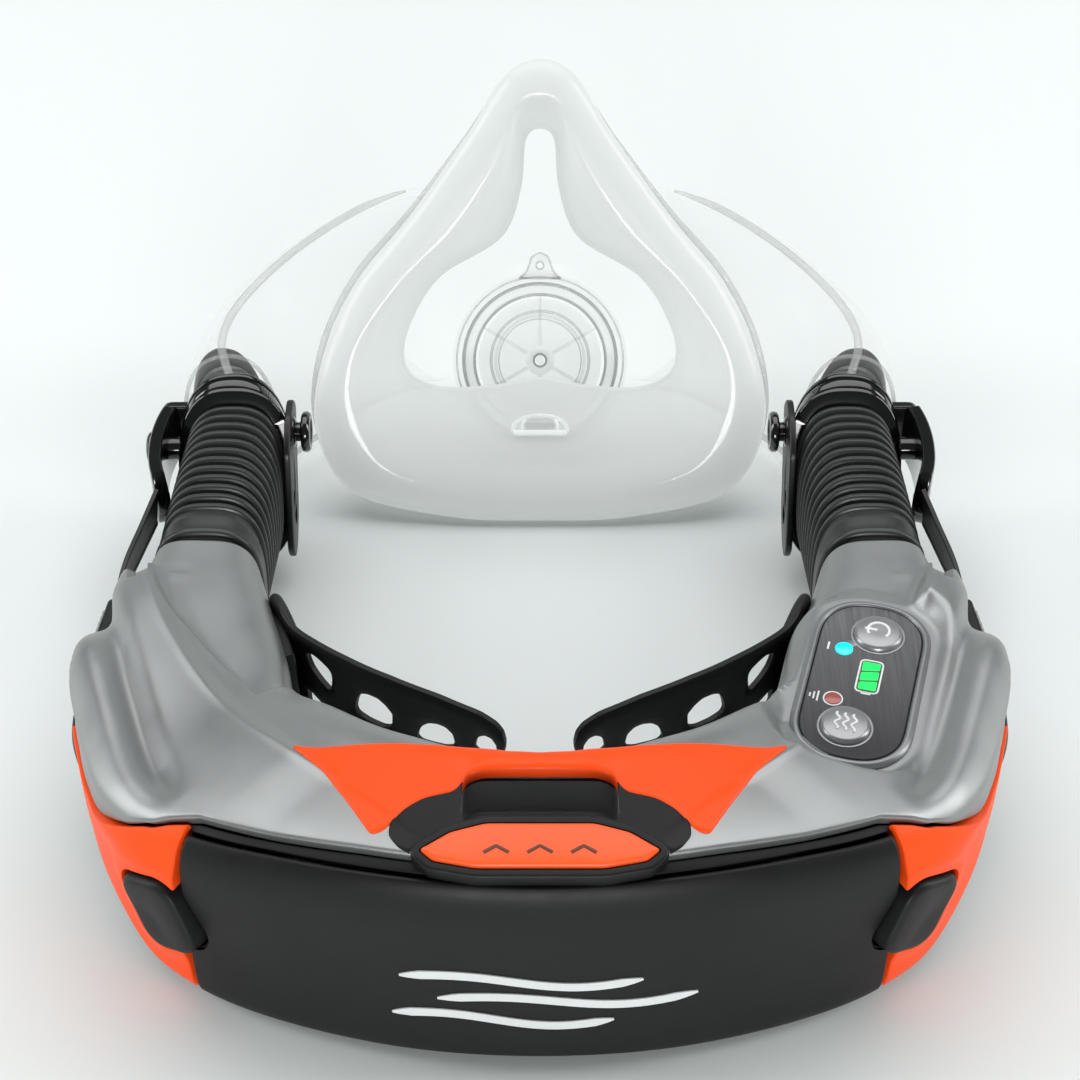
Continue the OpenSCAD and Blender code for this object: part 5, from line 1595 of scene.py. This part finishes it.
S_lip = [(0, 110, 9), (4, 107, 9), (5.5, 93, 10), (11, 80, 10.5), (28, 69, 11), (37, 54, 10.5), (37, 43.5, 9), (28, 38.5, 8.5), (13, 38.8, 9), (0, 41, 9.5)]
S_mid = [(0, 115, 3), (6, 112, 3), (9, 97, 4), (18, 81, 4.5), (34, 68, 4.5), (44, 52, 3.5), (45, 38, 3), (36, 27, 3), (18, 24, 3.5), (0, 24, 4)]
S_cre = [(0, 121, 0.5), (8, 117.5, 0.5), (14, 102, 0.5), (25, 84, 0.5), (40, 68, 0.5), (52, 50, 0), (54, 32, 0), (45, 16, 0), (22, 9, 0), (0, 8, 0)]
S_sil = [(0, 128.5, 5), (13, 124, 5), (22, 109, 5), (35, 88, 5), (50, 68.5, 5), (60, 48, 5), (62.5, 27, 5), (52.5, 9, 4.5), (25, 2, 4), (0, 1, 4)]
S_wal = [(0, 124, 13), (11.5, 119, 13), (20.5, 105, 13), (33.5, 85.5, 13), (48, 67, 13), (57.5, 48, 13), (59.5, 29, 13), (50.5, 13.5, 12), (24.5, 8.5, 11.5), (0, 7.6, 11)]
S_wen = [(0, 115, 20), (9.8, 111, 20), (18.5, 99.5, 20), (31, 82, 20), (44.5, 65, 20), (53.5, 48, 20), (55.2, 32, 19), (47, 18, 18), (22.5, 13, 17.5), (0, 12, 17)]
VC = np.array([0, 41.3, 32.2])
R_0 = [(0, 125.6, 10.8), (13, 121, 10.8), (22.8, 107.2, 10.8), (36, 87.8, 10.8), (51, 69.6, 10.8), (61, 49.4, 10.8), (63.2, 28.6, 10.8), (54, 11, 9.8), (26, 5.2, 9.4), (0, 4.4, 9)]
R_1 = [(0, 120, 20.5), (12, 116, 20.5), (21.2, 103.4, 20.5), (34.4, 84.8, 20.5), (48.4, 67.8, 20.5), (57.6, 49.2, 20.5), (59.4, 30.6, 19.5), (50.6, 14.8, 18.5), (24.6, 9.8, 18), (0, 8.8, 17.5)]
R_2 = [(0, 107, 31), (9.5, 103.5, 31), (17.5, 93, 31), (28, 79, 30.5), (38, 65, 30), (46, 51, 28.5), (47.5, 38, 26.5), (41, 25, 24.6), (21.5, 17.4, 23.6), (0, 15.8, 23)]
R_3 = [(26.4 * math.sin(math.radians(20 * k)), VC[1] + 26.4 * math.cos(math.radians(20 * k)) * .98, VC[2] + 26.4 * math.cos(math.radians(20 * k)) * .198 + .4) for k in range(10)]


def lp18(L, q):
    q = np.asarray(q, float)
    i = np.floor(q).astype(int)
    f = (q - i)[..., None]
    g = lambda k: L[np.mod(k, 18)]
    return cr(g(i - 1), g(i), g(i + 1), g(i + 2), f)


class Levels:
    def __init__(s, Ls):
        s.L = [loop18(x) for x in Ls]
        s.n = len(Ls)

    def at(s, q, w):
        q, w = np.broadcast_arrays(np.asarray(q, float), np.asarray(w, float))
        A = [lp18(L, q) for L in s.L]
        A = [2 * A[0] - A[1]] + A + [2 * A[-1] - A[-2]]
        A = np.stack(A)
        i = np.clip(np.floor(w).astype(int), 0, s.n - 2)
        f = (w - i)[..., None]
        ix = np.indices(q.shape)
        pk = lambda k: A[(k + 1, *ix)]
        return cr(pk(i - 1), pk(i), pk(i + 1), pk(i + 2), f)

    def nor(s, q, w):
        d = 0.06
        return unit(np.cross(s.at(q + d, w) - s.at(q - d, w), s.at(q, w + d) - s.at(q, w - d)))


SEAL, BOWL = Levels([S_lip, S_mid, S_cre, S_sil, S_wal, S_wen]), Levels([R_0, R_1, R_2, R_3])


def even_q(Lv, w, n):
    q = np.linspace(0, 18, 1441)
    P = Mx(Lv.at(q, np.full_like(q, w)))
    S = np.concatenate([[0], np.cumsum(np.linalg.norm(np.diff(P, axis=0), axis=1))])
    return np.interp(np.linspace(0, S[-1], n, endpoint=False), S, q)


nq = 220
qs = even_q(SEAL, 2.0, nq)
ws = np.unique(np.concatenate([np.linspace(0, 5, 84), [0.02, 0.06, 4.94, 4.98]]))
Q, W = np.meshgrid(qs, ws, indexing="ij")
A, NA = SEAL.at(Q, W), SEAL.nor(Q, W)
# the wall thins towards the lip, and a soft step runs round between the cuff and the reinforced back
th = 0.9 + 0.75 * sm(0.2, 1.6, W)
th = th + 0.5 * sm(3.55, 3.75, W)
edge = rounding(np.minimum(W, 5 - W) * 12, 0.6) * 0.8
front = A - NA * (0.16 * np.exp(-((W - 0.12) / 0.10) ** 2))[..., None] + NA * edge[..., None] * .5
back = A + NA * (th - edge * .5)[..., None]
nu, nv = front.shape[:2]
V = np.concatenate([Mx(front).reshape(-1, 3), Mx(back).reshape(-1, 3)])
F = []
for i in range(nu):
    i2 = (i + 1) % nu
    for j in range(nv - 1):
        a, b, c, d = i * nv + j, i * nv + j + 1, i2 * nv + j + 1, i2 * nv + j
        F.append((a, b, c, d))
        F.append((d + nu * nv, c + nu * nv, b + nu * nv, a + nu * nv))
    a, d = i * nv, i2 * nv
    F.append((a, d, d + nu * nv, a + nu * nv))
    a, d = i * nv + nv - 1, i2 * nv + nv - 1
    F.append((d, a, a + nu * nv, d + nu * nv))
seal = put("face_cushion", V, F, M_sil, None)
fix_normals(seal)
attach(seal, "mask")
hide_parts("face_seal")
# bead round the lip of the opening
qb = even_q(SEAL, 0.05, 160)
bead = Mx(SEAL.at(qb, np.full_like(qb, 0.03)) + SEAL.nor(qb, np.full_like(qb, 0.03)) * 0.45)
bd_ = rod("face_cushion_bead", bead, 0.75, M_sil, "mask", closed=True, seg=12)


def turned(name, prof, fr, mat, body, n=96, deg=40):
    """Ring of revolution from a closed (radius, height) profile."""
    o = ring(name, circle(1.0, n), [(r - 1.0, z) for r, z in prof], mat, body, fr)
    sharp(o, deg)
    return o


# chin slot with its clip on the inside of the cushion
def seal_frame(w):
    q = np.array([9.0])
    p = Mx(SEAL.at(q, np.array([w])))[0]
    a = Mx(SEAL.at(q, np.array([w + .05])))[0] - Mx(SEAL.at(q, np.array([w - .05])))[0]
    Y = -unit(a)
    X = np.array([1.0, 0, 0])
    return p, X, Y, unit(np.cross(X, Y))


cp, cx, cy_, cz = seal_frame(0.8)
if cz[1] > 0:
    cz = -cz
    cx = -cx
CF = (cp, cx, cy_, cz)
flip_ = 1.0 if cy_[2] > 0 else -1.0
th_ = np.linspace(0, pi, 40)
arch = np.concatenate([np.stack([7.4 * np.cos(th_), 3.6 * np.sin(th_) * flip_], -1), [(-7.6, -0.5 * flip_), (-7.0, -1.1 * flip_), (7.0, -1.1 * flip_), (7.6, -0.5 * flip_)]])
arch = resample(arch if flip_ > 0 else arch[::-1], 110)
ring("chin_slot_rim", arch, rround([(-0.5, -0.7), (0.7, -0.7), (0.5, 0.9), (-0.3, 0.9)], .3, 3), M_clip, "mask", CF)
bar = pillow("chin_slot_bar", soften(pill(1.5, 15.4, 0.7)) + [0, -1.2 * flip_], -0.5, 1.3, 0.5, M_clip, "mask", CF, rb=0.3)
tongue = pillow("chin_slot_tongue", soften(pill(1.9, 8.4, 0.8)) + [0, 0.8 * flip_], -0.6, 0.7, 0.4, M_edge, "mask", CF, rb=0.2)
for k in (-1, 1):
    p = [(k * 4.9, -0.8 * flip_, 0.4), (k * 5.0, 0.4 * flip_, 1.1), (k * 4.7, 1.7 * flip_, 1.0), (k * 4.3, 2.4 * flip_, 0.4)]
    rod(f"chin_clip_{'r' if k > 0 else 'l'}", frame_pts(curve_pts(p, 18), CF), 0.38, M_clip, "mask", seg=10)

# ------------------------------------------------------------------ mask: clear shell with its side ducts
WG = [[(83.2, 8.8, 50.4), (81, -5.4, 6.4), 13], [(86, 19, 54.5), (81.5, 5, 5.5), 12.6], [(82.5, 31, 58), (78.5, 17, 5.5), 12], [(72.5, 46.5, 61), (69, 32, 7), 11],
      [(59.5, 58.0, 65.2), (56, 43, 10), 10], [(46, 64.5, 69.6), (43, 49, 14), 9], [(33, 66, 72.5), (29, 46, 19), 8], [(22, 60, 70), (18, 40, 24), 7]]


def wgv(t, k):
    A = np.array([np.atleast_1d(x[k]) for x in WG], float)
    A = np.concatenate([2 * A[:1] - A[1:2], A, 2 * A[-1:] - A[-2:-1]])
    t = np.asarray(t, float)
    i = np.clip(np.floor(t).astype(int), 0, len(WG) - 2)
    f = (t - i)[..., None]
    A2 = np.concatenate([A, A[-1:]])
    return cr(A2[i], A2[i + 1], A2[i + 2], A2[i + 3], f)


def wgc(t):
    return (wgv(t, 0) + wgv(t, 1)) / 2


def wing_p(t, a, o, e=0.8):
    t, a, o = np.broadcast_arrays(np.asarray(t, float), np.asarray(a, float), np.asarray(o, float))
    T, B = wgv(t, 0), wgv(t, 1)
    d = wgc(t + .1) - wgc(t - .1)
    n = unit(np.stack([d[..., 1], -d[..., 0], 0 * d[..., 0]], -1))
    up = unit(T - B)
    h = np.linalg.norm(T - B, axis=-1) / 2 - o
    w_ = wgv(t, 2)[..., 0] - o
    return (T + B) / 2 + n * (w_ * sp(np.cos(a), e))[..., None] + up * (h * sp(np.sin(a), e))[..., None]


def capped_loft(name, rows, c0, c1, mat=None, mirror_x=False):
    rows = np.asarray(rows)
    n, m = rows.shape[:2]
    V = np.concatenate([rows.reshape(-1, 3), [c0, c1]])
    F = []
    for i in range(n - 1):
        for j in range(m):
            F.append((i * m + j, i * m + (j + 1) % m, (i + 1) * m + (j + 1) % m, (i + 1) * m + j))
    for j in range(m):
        F.append(((j + 1) % m, j, n * m))
        F.append(((n - 1) * m + j, (n - 1) * m + (j + 1) % m, n * m + 1))
    o = put(name, V, F, mat, None, mirror_x=mirror_x)
    fix_normals(o)
    return o


AW = even_angles(72, .8, 13.0, 24.0)
bq = even_q(BOWL, 1.0, 150)


def bowl_solid(name, o, w0, w1):
    rows = [Mx(BOWL.at(bq, np.full_like(bq, w)) + o * BOWL.nor(bq, np.full_like(bq, w))) for w in np.linspace(w0, w1, 40)]
    c0 = Mx(np.array([0, 48, 10 + 9 * w0 - .2 * o]))
    c1 = Mx(VC - [0, 0, o])
    return capped_loft(name, rows, c0, c1)


def wing_solid(name, o, t0, t1, mir):
    rows = [wing_p(t, AW, o) for t in np.linspace(t0, t1, 44)]
    return capped_loft(name, rows, wgc(np.array(t0)), wgc(np.array(t1)), mirror_x=mir)


vq = math.radians(-101.4 - 26)
VF = (Mx(VC), np.array([1.0, 0, 0]), np.array([0, math.cos(vq), math.sin(vq)]), np.array([0, -math.sin(vq), math.cos(vq)]))
shell = bowl_solid("mask_bowl", 0, 0, 3)
adds = [wing_solid("wa", 0, 0, 7, False), wing_solid("wb", 0, 0, 7, True), pillow("boss", circle(25.4, 96), -2, 3, 0.6, None, None, VF, rb=0.4)]
for c in adds:
    m = shell.modifiers.new("u", "BOOLEAN")
    m.operation = "UNION"
    m.object = c
    m.solver = "EXACT"
subs = [bowl_solid("sb", 2.0, -.25, 3), wing_solid("sc", 2.0, -.3, 7, False), wing_solid("sd", 2.0, -.3, 7, True), pillow("se", circle(22, 96), -8, 22, 0.1, None, None, VF)]
for c in subs:
    m = shell.modifiers.new("d", "BOOLEAN")
    m.operation = "DIFFERENCE"
    m.object = c
    m.solver = "EXACT"
apply_all(shell)
for c in adds + subs:
    bpy.data.objects.remove(c, do_unlink=True)
shell.data.materials.clear()
shell.data.materials.append(M_clear)
for p in shell.data.polygons:
    p.material_index = 0
sharp(shell, 34)
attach(shell, "mask")
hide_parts("mask_shell")
# rim flange of the clear shell and the ribs that stiffen the ducts
rq = even_q(BOWL, 0.0, 180)
rim = Mx(BOWL.at(rq, np.full_like(rq, 0.04)))
rod("mask_rim", rim, 0.95, M_edge, "mask", closed=True, seg=12)
for s, side in ((1, "right"), (-1, "left")):
    fl = np.array([s, 1, 1])
    t = np.linspace(0.0, 5.6, 60)
    top = wing_p(t, np.full_like(t, pi / 2), -0.35) * fl
    rod(f"duct_rib_{side}", top, np.interp(t, [0, 4.8, 5.6], [1.15, 1.05, .4]), M_edge, "mask", seg=12)
    bt2 = wing_p(t, np.full_like(t, -pi / 2), -0.1) * fl
    rod(f"duct_keel_{side}", bt2, np.interp(t, [0, 4.8, 5.6], [0.95, .85, .3]), M_edge, "mask", seg=12)
    # thickened rim at the mouth of the port
    a = AW
    for k, (tp, r_) in enumerate(((0.03, 0.9), (0.62, 0.55))):
        lp_ = wing_p(np.full_like(a, tp), a, -0.25 if k == 0 else 0.0) * fl
        rod(f"port_rim_{side}_{k}", lp_, r_, M_edge, "mask", closed=True, seg=10)

# ------------------------------------------------------------------ exhale valve
seat = turned("valve_seat", rround([(18.7, -1.6), (21.9, -1.6), (21.9, 1.8), (20.6, 1.8), (20.2, 1.0), (19.5, 1.0), (19.2, 1.8), (18.7, 1.8)], .3, 3), VF, M_clip, "mask")
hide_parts("exhale_seat")
for nm, ra, rb_, mt, z_ in (("rim", 21.5, 22.5, M_ring, -2.5), ("lip", 18.5, 19.3, M_ring, -2.3), ("boss", 23.7, 24.3, M_edge, -2.7), ("seal", 13.7, 14.6, M_edge, -1.8), ("stay", 11.7, 12.1, M_edge, -1.7)):
    turned(f"valve_ring_{nm}", rround([(ra, z_), (rb_, z_), (rb_, z_ + 1.1), (ra, z_ + 1.1)], .3, 3), VF, mt, "mask")
turned("valve_hub", rround([(2.1, -2.6), (3.2, -2.6), (4.3, -1.8), (4.3, 1.2), (2.1, 1.2)], .35, 3), VF, M_clip, "mask", n=48)
turned("valve_hub_eye", rround([(1.45, -2.3), (2.2, -2.3), (2.2, 1.0), (1.45, 1.0)], .2, 3), VF, M_ring, "mask", n=48)
for k in range(6):
    an = math.radians(60 * k + 30)
    dirv, nrm = np.array([math.cos(an), math.sin(an)]), np.array([-math.sin(an), math.cos(an)])
    P = np.array([dirv * 4.0 + nrm * .6, dirv * 4.0 - nrm * .6, dirv * 18.9 - nrm * .4, dirv * 18.9 + nrm * .4])
    pillow(f"valve_spoke_{k}", resample(P[::-1], 60), -1.3, 1.2, 0.3, M_valve, "mask", VF, rb=0.25)
flap = turned("valve_flap", rround([(1.5, 2.1), (17.8, 2.1), (17.8, 2.75), (12, 2.85), (6, 3.05), (1.5, 3.2)], .15, 3), VF, M_flap, "exhale_flap")
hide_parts("exhale_flap")
stem = pillow("valve_flap_stem", circle(1.25, 40), -3.0, 3.1, 0.6, M_flap, "exhale_flap", VF, rb=0.5)
cov_v = turned("valve_guard", rround([(0.02, 8.4), (0.02, 10.0), (8, 9.9), (14, 9.6), (20, 8.6), (24.2, 6.3), (25.4, 3.25), (23, 3.25), (22, 5.4), (18.6, 7.2), (13, 8.2), (6, 8.4)], .35, 3), VF, M_clear, None)
sl = []
for i in range(-1, 2):
    an = math.radians(-90 + 38 * i)
    for j in range(3):
        rr_ = 18.6 + 3.0 * j
    X2 = np.array([math.cos(an), math.sin(an)])
    Y2 = np.array([-math.sin(an), math.cos(an)])
    P = pill(9.0, 5.4, 1.6)
    P = (P[:, :1] + 22.2) * X2 + P[:, 1:] * Y2
    sl.append(pillow("win", P, 3.9, 20, 0.1, None, None, VF))
bool_cut(cov_v, sl)
sharp(cov_v, 36)
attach(cov_v, "mask")
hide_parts("exhale_cover")
turned("valve_guard_ring", rround([(12.5, 9.15), (13.5, 9.15), (13.4, 10.1), (12.6, 10.1)], .3, 3), VF, M_valve, "mask")
# keeper tab with its eye above the valve
tabP = soften(resample(np.array([(-6.4, -23.4), (-4.0, -25.2), (-2.9, -28.2), (-2.4, -29.9), (0, -31.0), (2.4, -29.9), (2.9, -28.2), (4.0, -25.2), (6.4, -23.4)])[::-1], 120), times=8)
tb = pillow("valve_tab", tabP, -3.0, -1.5, 0.45, M_valve, None, VF, rb=0.4)
hole = pillow("vh", circle(0.9, 40) + [0, -27.2], -9, 9, 0.1, None, None, VF)
bool_cut(tb, [hole])
sharp(tb, 42)
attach(tb, "mask")
ring("valve_tab_eye", circle(1.1, 40) + [0, -27.2], rround([(-.25, -3.3), (.25, -3.3), (.25, -1.4), (-.25, -1.4)], .15, 3), M_edge, "mask", VF)
ring("valve_tab_edge", tabP, rround([(-.35, -3.2), (.2, -3.2), (.2, -1.4), (-.35, -1.4)], .2, 3), M_edge, "mask", VF)

# ------------------------------------------------------------------ collars, studs, brackets and port seals
for s, side in ((1, "right"), (-1, "left")):
    fl = np.array([s, 1, 1])
    A_ = AE
    p0, q0 = hose_p(1.012, A_, 1.8), wing_p(-0.03, A_, -1.4)
    p1, q1 = hose_p(1.012, A_, -3.0), wing_p(-0.03, A_, 3.9)
    ro = unit(p0 - p0.mean(0))
    lev_ = [(0, 0), (.05, .45), (.13, .55), (.2, .5), (.23, -.25), (.28, -.3), (.31, .25), (.6, .35), (.66, .3), (.69, -.3), (.74, -.3), (.77, .5), (.9, .6), (.96, .45), (1, 0)]
    rows = [(p0 + (q0 - p0) * u + ro * d) * fl for u, d in lev_] + [(p1 + (q1 - p1) * u) * fl for u in (1, .66, .33, 0)]
    R = np.stack(rows)
    n, m = R.shape[:2]
    F = [(i * m + j, i * m + (j + 1) % m, ((i + 1) % n) * m + (j + 1) % m, ((i + 1) % n) * m + j) for i in range(n) for j in range(m)]
    col = put(f"collar_{side}", R.reshape(-1, 3), F, M_collar, None)
    fix_normals(col)
    sharp(col, 46)
    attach(col, "mask")
    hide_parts(f"hose_collar_{side}")
    # sleeve in the port
    rows = [wing_p(t_, AW, o_) * fl for t_, o_ in ((-.04, 2.7), (.1, 2.7), (.2, 2.7), (.4, 2.7), (.6, 2.7), (.8, 2.7), (1.0, 2.7), (1.12, 2.8), (1.16, 3.1), (1.16, 3.8), (1.12, 4.0), (.8, 4.0), (.5, 4.0), (.3, 4.0), (.1, 4.0), (-.04, 4.0))]
    R = np.stack(rows)
    n, m = R.shape[:2]
    F = [(i * m + j, i * m + (j + 1) % m, ((i + 1) % n) * m + (j + 1) % m, ((i + 1) % n) * m + j) for i in range(n) for j in range(m)]
    sv_ = put(f"port_sleeve_{side}", R.reshape(-1, 3), F, M_sleeve, None)
    fix_normals(sv_)
    sharp(sv_, 46)
    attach(sv_, "mask")
    for k, d_ in enumerate((.08, .62)):
        rows = [wing_p(d_ + .44 * u_, AW, o_) * fl for u_, o_ in ((0, 2.65), (.08, 2.25), (.3, 2.08), (.7, 2.08), (.92, 2.25), (1, 2.65), (.5, 2.68))]
        R = np.stack(rows)
        n, m = R.shape[:2]
        F = [(i * m + j, i * m + (j + 1) % m, ((i + 1) % n) * m + (j + 1) % m, ((i + 1) % n) * m + j) for i in range(n) for j in range(m)]
        o_s = put(f"port_band_{side}_{k}", R.reshape(-1, 3), F, M_seal, None)
        fix_normals(o_s)
        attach(o_s, "mask")
        if k == 0 and s == 1:
            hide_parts("port_seals")
    # stud plate on the neck side
    zs = np.linspace(9.5, 46.5, 40)
    yc = -8 + (zs - 28) * .42 + 1
    wd = (15 + 7 * (zs - 10) / 36) * np.sqrt(np.clip(np.minimum(zs - 9.0, 47.0 - zs) / 6.0, .12, 1))
    P = np.concatenate([np.stack([yc - wd / 2, zs], -1), np.stack([yc + wd / 2, zs], -1)[::-1]])
    P = resample(soften(resample(P, 160), times=3), 120)
    FP = ((s * 67.7, 0, 0), (0, 1, 0), (0, 0, 1), (s * 1.0, 0, 0))
    pl_ = pillow(f"stud_plate_{side}", P, -1.6, 0.2, 0.55, M_strap, None, FP, rb=0.5)
    cth = pillow("pc", resample(P * 0, 4) if False else soften(pill(11, 4.2, 2.0)) + [-10.5, 21.5], -4, 4, 0.1, None, None, FP)
    bool_cut(pl_, [cth])
    sharp(pl_, 42)
    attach(pl_, "mask")
    # end wall that ties the bracket to the collar
    FE = ((s * 95.2, 6.4, 36), (s * 1.0, 0, 0), (0, 0, 1), (0, -s * s * 1.0, 0))
    ew = pillow(f"bracket_wall_{side}", soften(pill(15.0, 13.5, 2.4)), -1.4, 1.4, 0.6, M_buckle, "mask", FE, rb=0.6)
    FS = ((s * 66.1, -1, 40), (0, 1, 0), (0, 0, 1), (-s * 1.0, 0, 0))
    stud = turned(f"stud_{side}", rround([(0.02, -1.6), (2.6, -1.6), (2.6, 2.2), (4.6, 2.3), (5.45, 2.8), (5.5, 3.9), (4.9, 4.7), (3.6, 4.75), (3.1, 4.25), (0.02, 4.15)], .28, 3), FS, M_collar, "mask", n=72)
    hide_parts(f"harness_stud_{side}")
    turned(f"stud_base_{side}", rround([(2.5, -.5), (4.2, -.5), (3.9, .5), (2.5, .9)], .2, 3), FS, M_collar, "mask", n=48)
    # curved strap bracket with its pivot pin
    aa = np.radians(np.linspace(-62, 56, 64))
    c = np.stack([96.4 + 6.5 * np.cos(aa) - 1.1, -9 + 19 * np.sin(aa), np.full_like(aa, 36)], -1) * fl
    T = unit(np.gradient(c, axis=0))
    Bn = np.tile([0, 0, 1.0], (len(c), 1))
    N = unit(np.cross(T, Bn))
    ends = np.sqrt(np.clip(np.minimum(np.arange(64), np.arange(64)[::-1]) / 7.0, .1, 1))
    prof = rround([(-1.3, -8.6), (2.2, -8.6), (2.2, 8.6), (-1.3, 8.6)], .9, 4)
    V = (c[:, None] + N[:, None] * prof[None, :, 0:1] + Bn[:, None] * (prof[None, :, 1:2] * ends[:, None, None])).reshape(-1, 3)
    m = len(prof)
    F = [(i * m + j, i * m + (j + 1) % m, (i + 1) * m + (j + 1) % m, (i + 1) * m + j) for i in range(63) for j in range(m)]
    F += [tuple(range(m))[::-1], tuple(63 * m + k for k in range(m))]
    br = put(f"bracket_{side}", V, F, M_collar, None)
    fix_normals(br)
    FB = ((s * 98.3, -3, 36), (0, 1, 0), (0, 0, 1), (s * 1.0, 0, 0))
    ho = pillow("bh", soften(pill(9, 5, 2.4)) + [-15.5, 0], -20, 20, 0.1, None, None, FB)
    bool_cut(br, [ho])
    sharp(br, 42)
    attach(br, "mask")
    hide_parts(f"strap_bracket_{side}")
    pin = turned(f"bracket_pin_{side}", rround([(0.02, -2.0), (3.2, -2.0), (3.2, 4.6), (4.2, 4.9), (4.4, 6.2), (3.6, 6.9), (1.2, 6.9), (0.9, 6.4), (0.02, 6.4)], .3, 3), FB, M_collar, "mask", n=56)

# ------------------------------------------------------------------ inner pieces carried over from the frame
INNER = {"battery_cells": M_batt, "battery_holder": M_inner, "main_board": M_board, "volute_lower": M_inner, "volute_upper": M_inner, "motor_stator": M_copper, "motor_bearings": M_steel,
         "rotor_shaft": M_steel, "impeller": M_impel, "cross_duct": M_inner, "charge_socket": M_gap, "case_screws": M_steel, "base_feet": M_pad, "filter_frame": M_fframe,
         "filter_media": M_paper, "filter_seal": M_seal}
for n_, m_ in INNER.items():
    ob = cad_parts[n_]
    ob.data.materials.clear()
    ob.data.materials.append(m_)
    for p in ob.data.polygons:
        p.material_index = 0


# ------------------------------------------------------------------ stage
def backdrop():
    V, F = [], []
    n = 40
    prof = [(-1.6, 0.0)]
    prof = [(y, 0.0) for y in np.linspace(-1.4, 0.9, 8)] + [(0.9 + .35 * math.sin(a), .35 - .35 * math.cos(a)) for a in np.linspace(0.15, pi / 2, 12)] + [(1.25, 0.42), (1.25, 0.55)]
    for y, z in prof:
        V += [(-2.2, y, z), (2.2, y, z)]
    for i in range(len(prof) - 1):
        F.append((2 * i, 2 * i + 1, 2 * i + 3, 2 * i + 2))
    m = Mat("studio_paper")
    v = m.coords()
    m.link(m.ramp(m.noise(v, 1.2, 2.0), [(0.3, lin(229, 234, 233)), (0.7, lin(231, 236, 235))]), m.b.inputs["Base Color"])
    m.bump(m.noise(v, 300.0), 0.02, 0.0002)
    m.set(Roughness=0.85, Specular_IOR_Level=0.15)
    ob = put("studio_floor", V, F, m.m, None, smooth=True, raw=True)
    ob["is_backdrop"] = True
    return ob


backdrop()


def area(name, loc, target, size, power, size_y=None, spread=None):
    L = bpy.data.lights.new(name, "AREA")
    L.energy = power
    L.size = size
    if size_y:
        L.shape = "RECTANGLE"
        L.size_y = size_y
    ob = bpy.data.objects.new(name, L)
    ob.location = loc
    ob.rotation_euler = (Vector(target) - Vector(loc)).to_track_quat("-Z", "Y").to_euler()
    COL.objects.link(ob)
    return ob


area("key_top", (0.0, 0.5, 1.45), (0, 0.02, 0), 2.2, 20.3, 1.2)
area("side_left", (-1.1, 0.05, 0.5), (-0.02, -0.03, 0.02), 0.3, 6.4, 1.0)
area("side_right", (1.1, 0.05, 0.5), (0.02, -0.03, 0.02), 0.3, 6.4, 1.0)
area("rear_fill", (0.0, -1.3, 0.35), (0, -0.12, 0.03), 0.45, 9.0, 0.25)
w = bpy.data.worlds.new("studio")
bpy.context.scene.world = w
w.use_nodes = True
bg = w.node_tree.nodes["Background"]
bg.inputs["Color"].default_value = lin(226, 233, 232)
bg.inputs["Strength"].default_value = 0.17

sc = bpy.context.scene
sc.view_settings.view_transform = "Standard"
sc.view_settings.look = "None"
sc.view_settings.exposure = 0.0
cam_data = bpy.data.cameras.new("photo_camera")
cam_data.lens = 73.67
cam_data.sensor_width = 36.0
cam = bpy.data.objects.new("photo_camera", cam_data)
cam.location = (0.0, -0.41215, 0.41486)
cam.rotation_euler = (math.radians(48), 0, 0)
COL.objects.link(cam)
sc.camera = cam

SIZE["visual"] = plain(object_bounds())
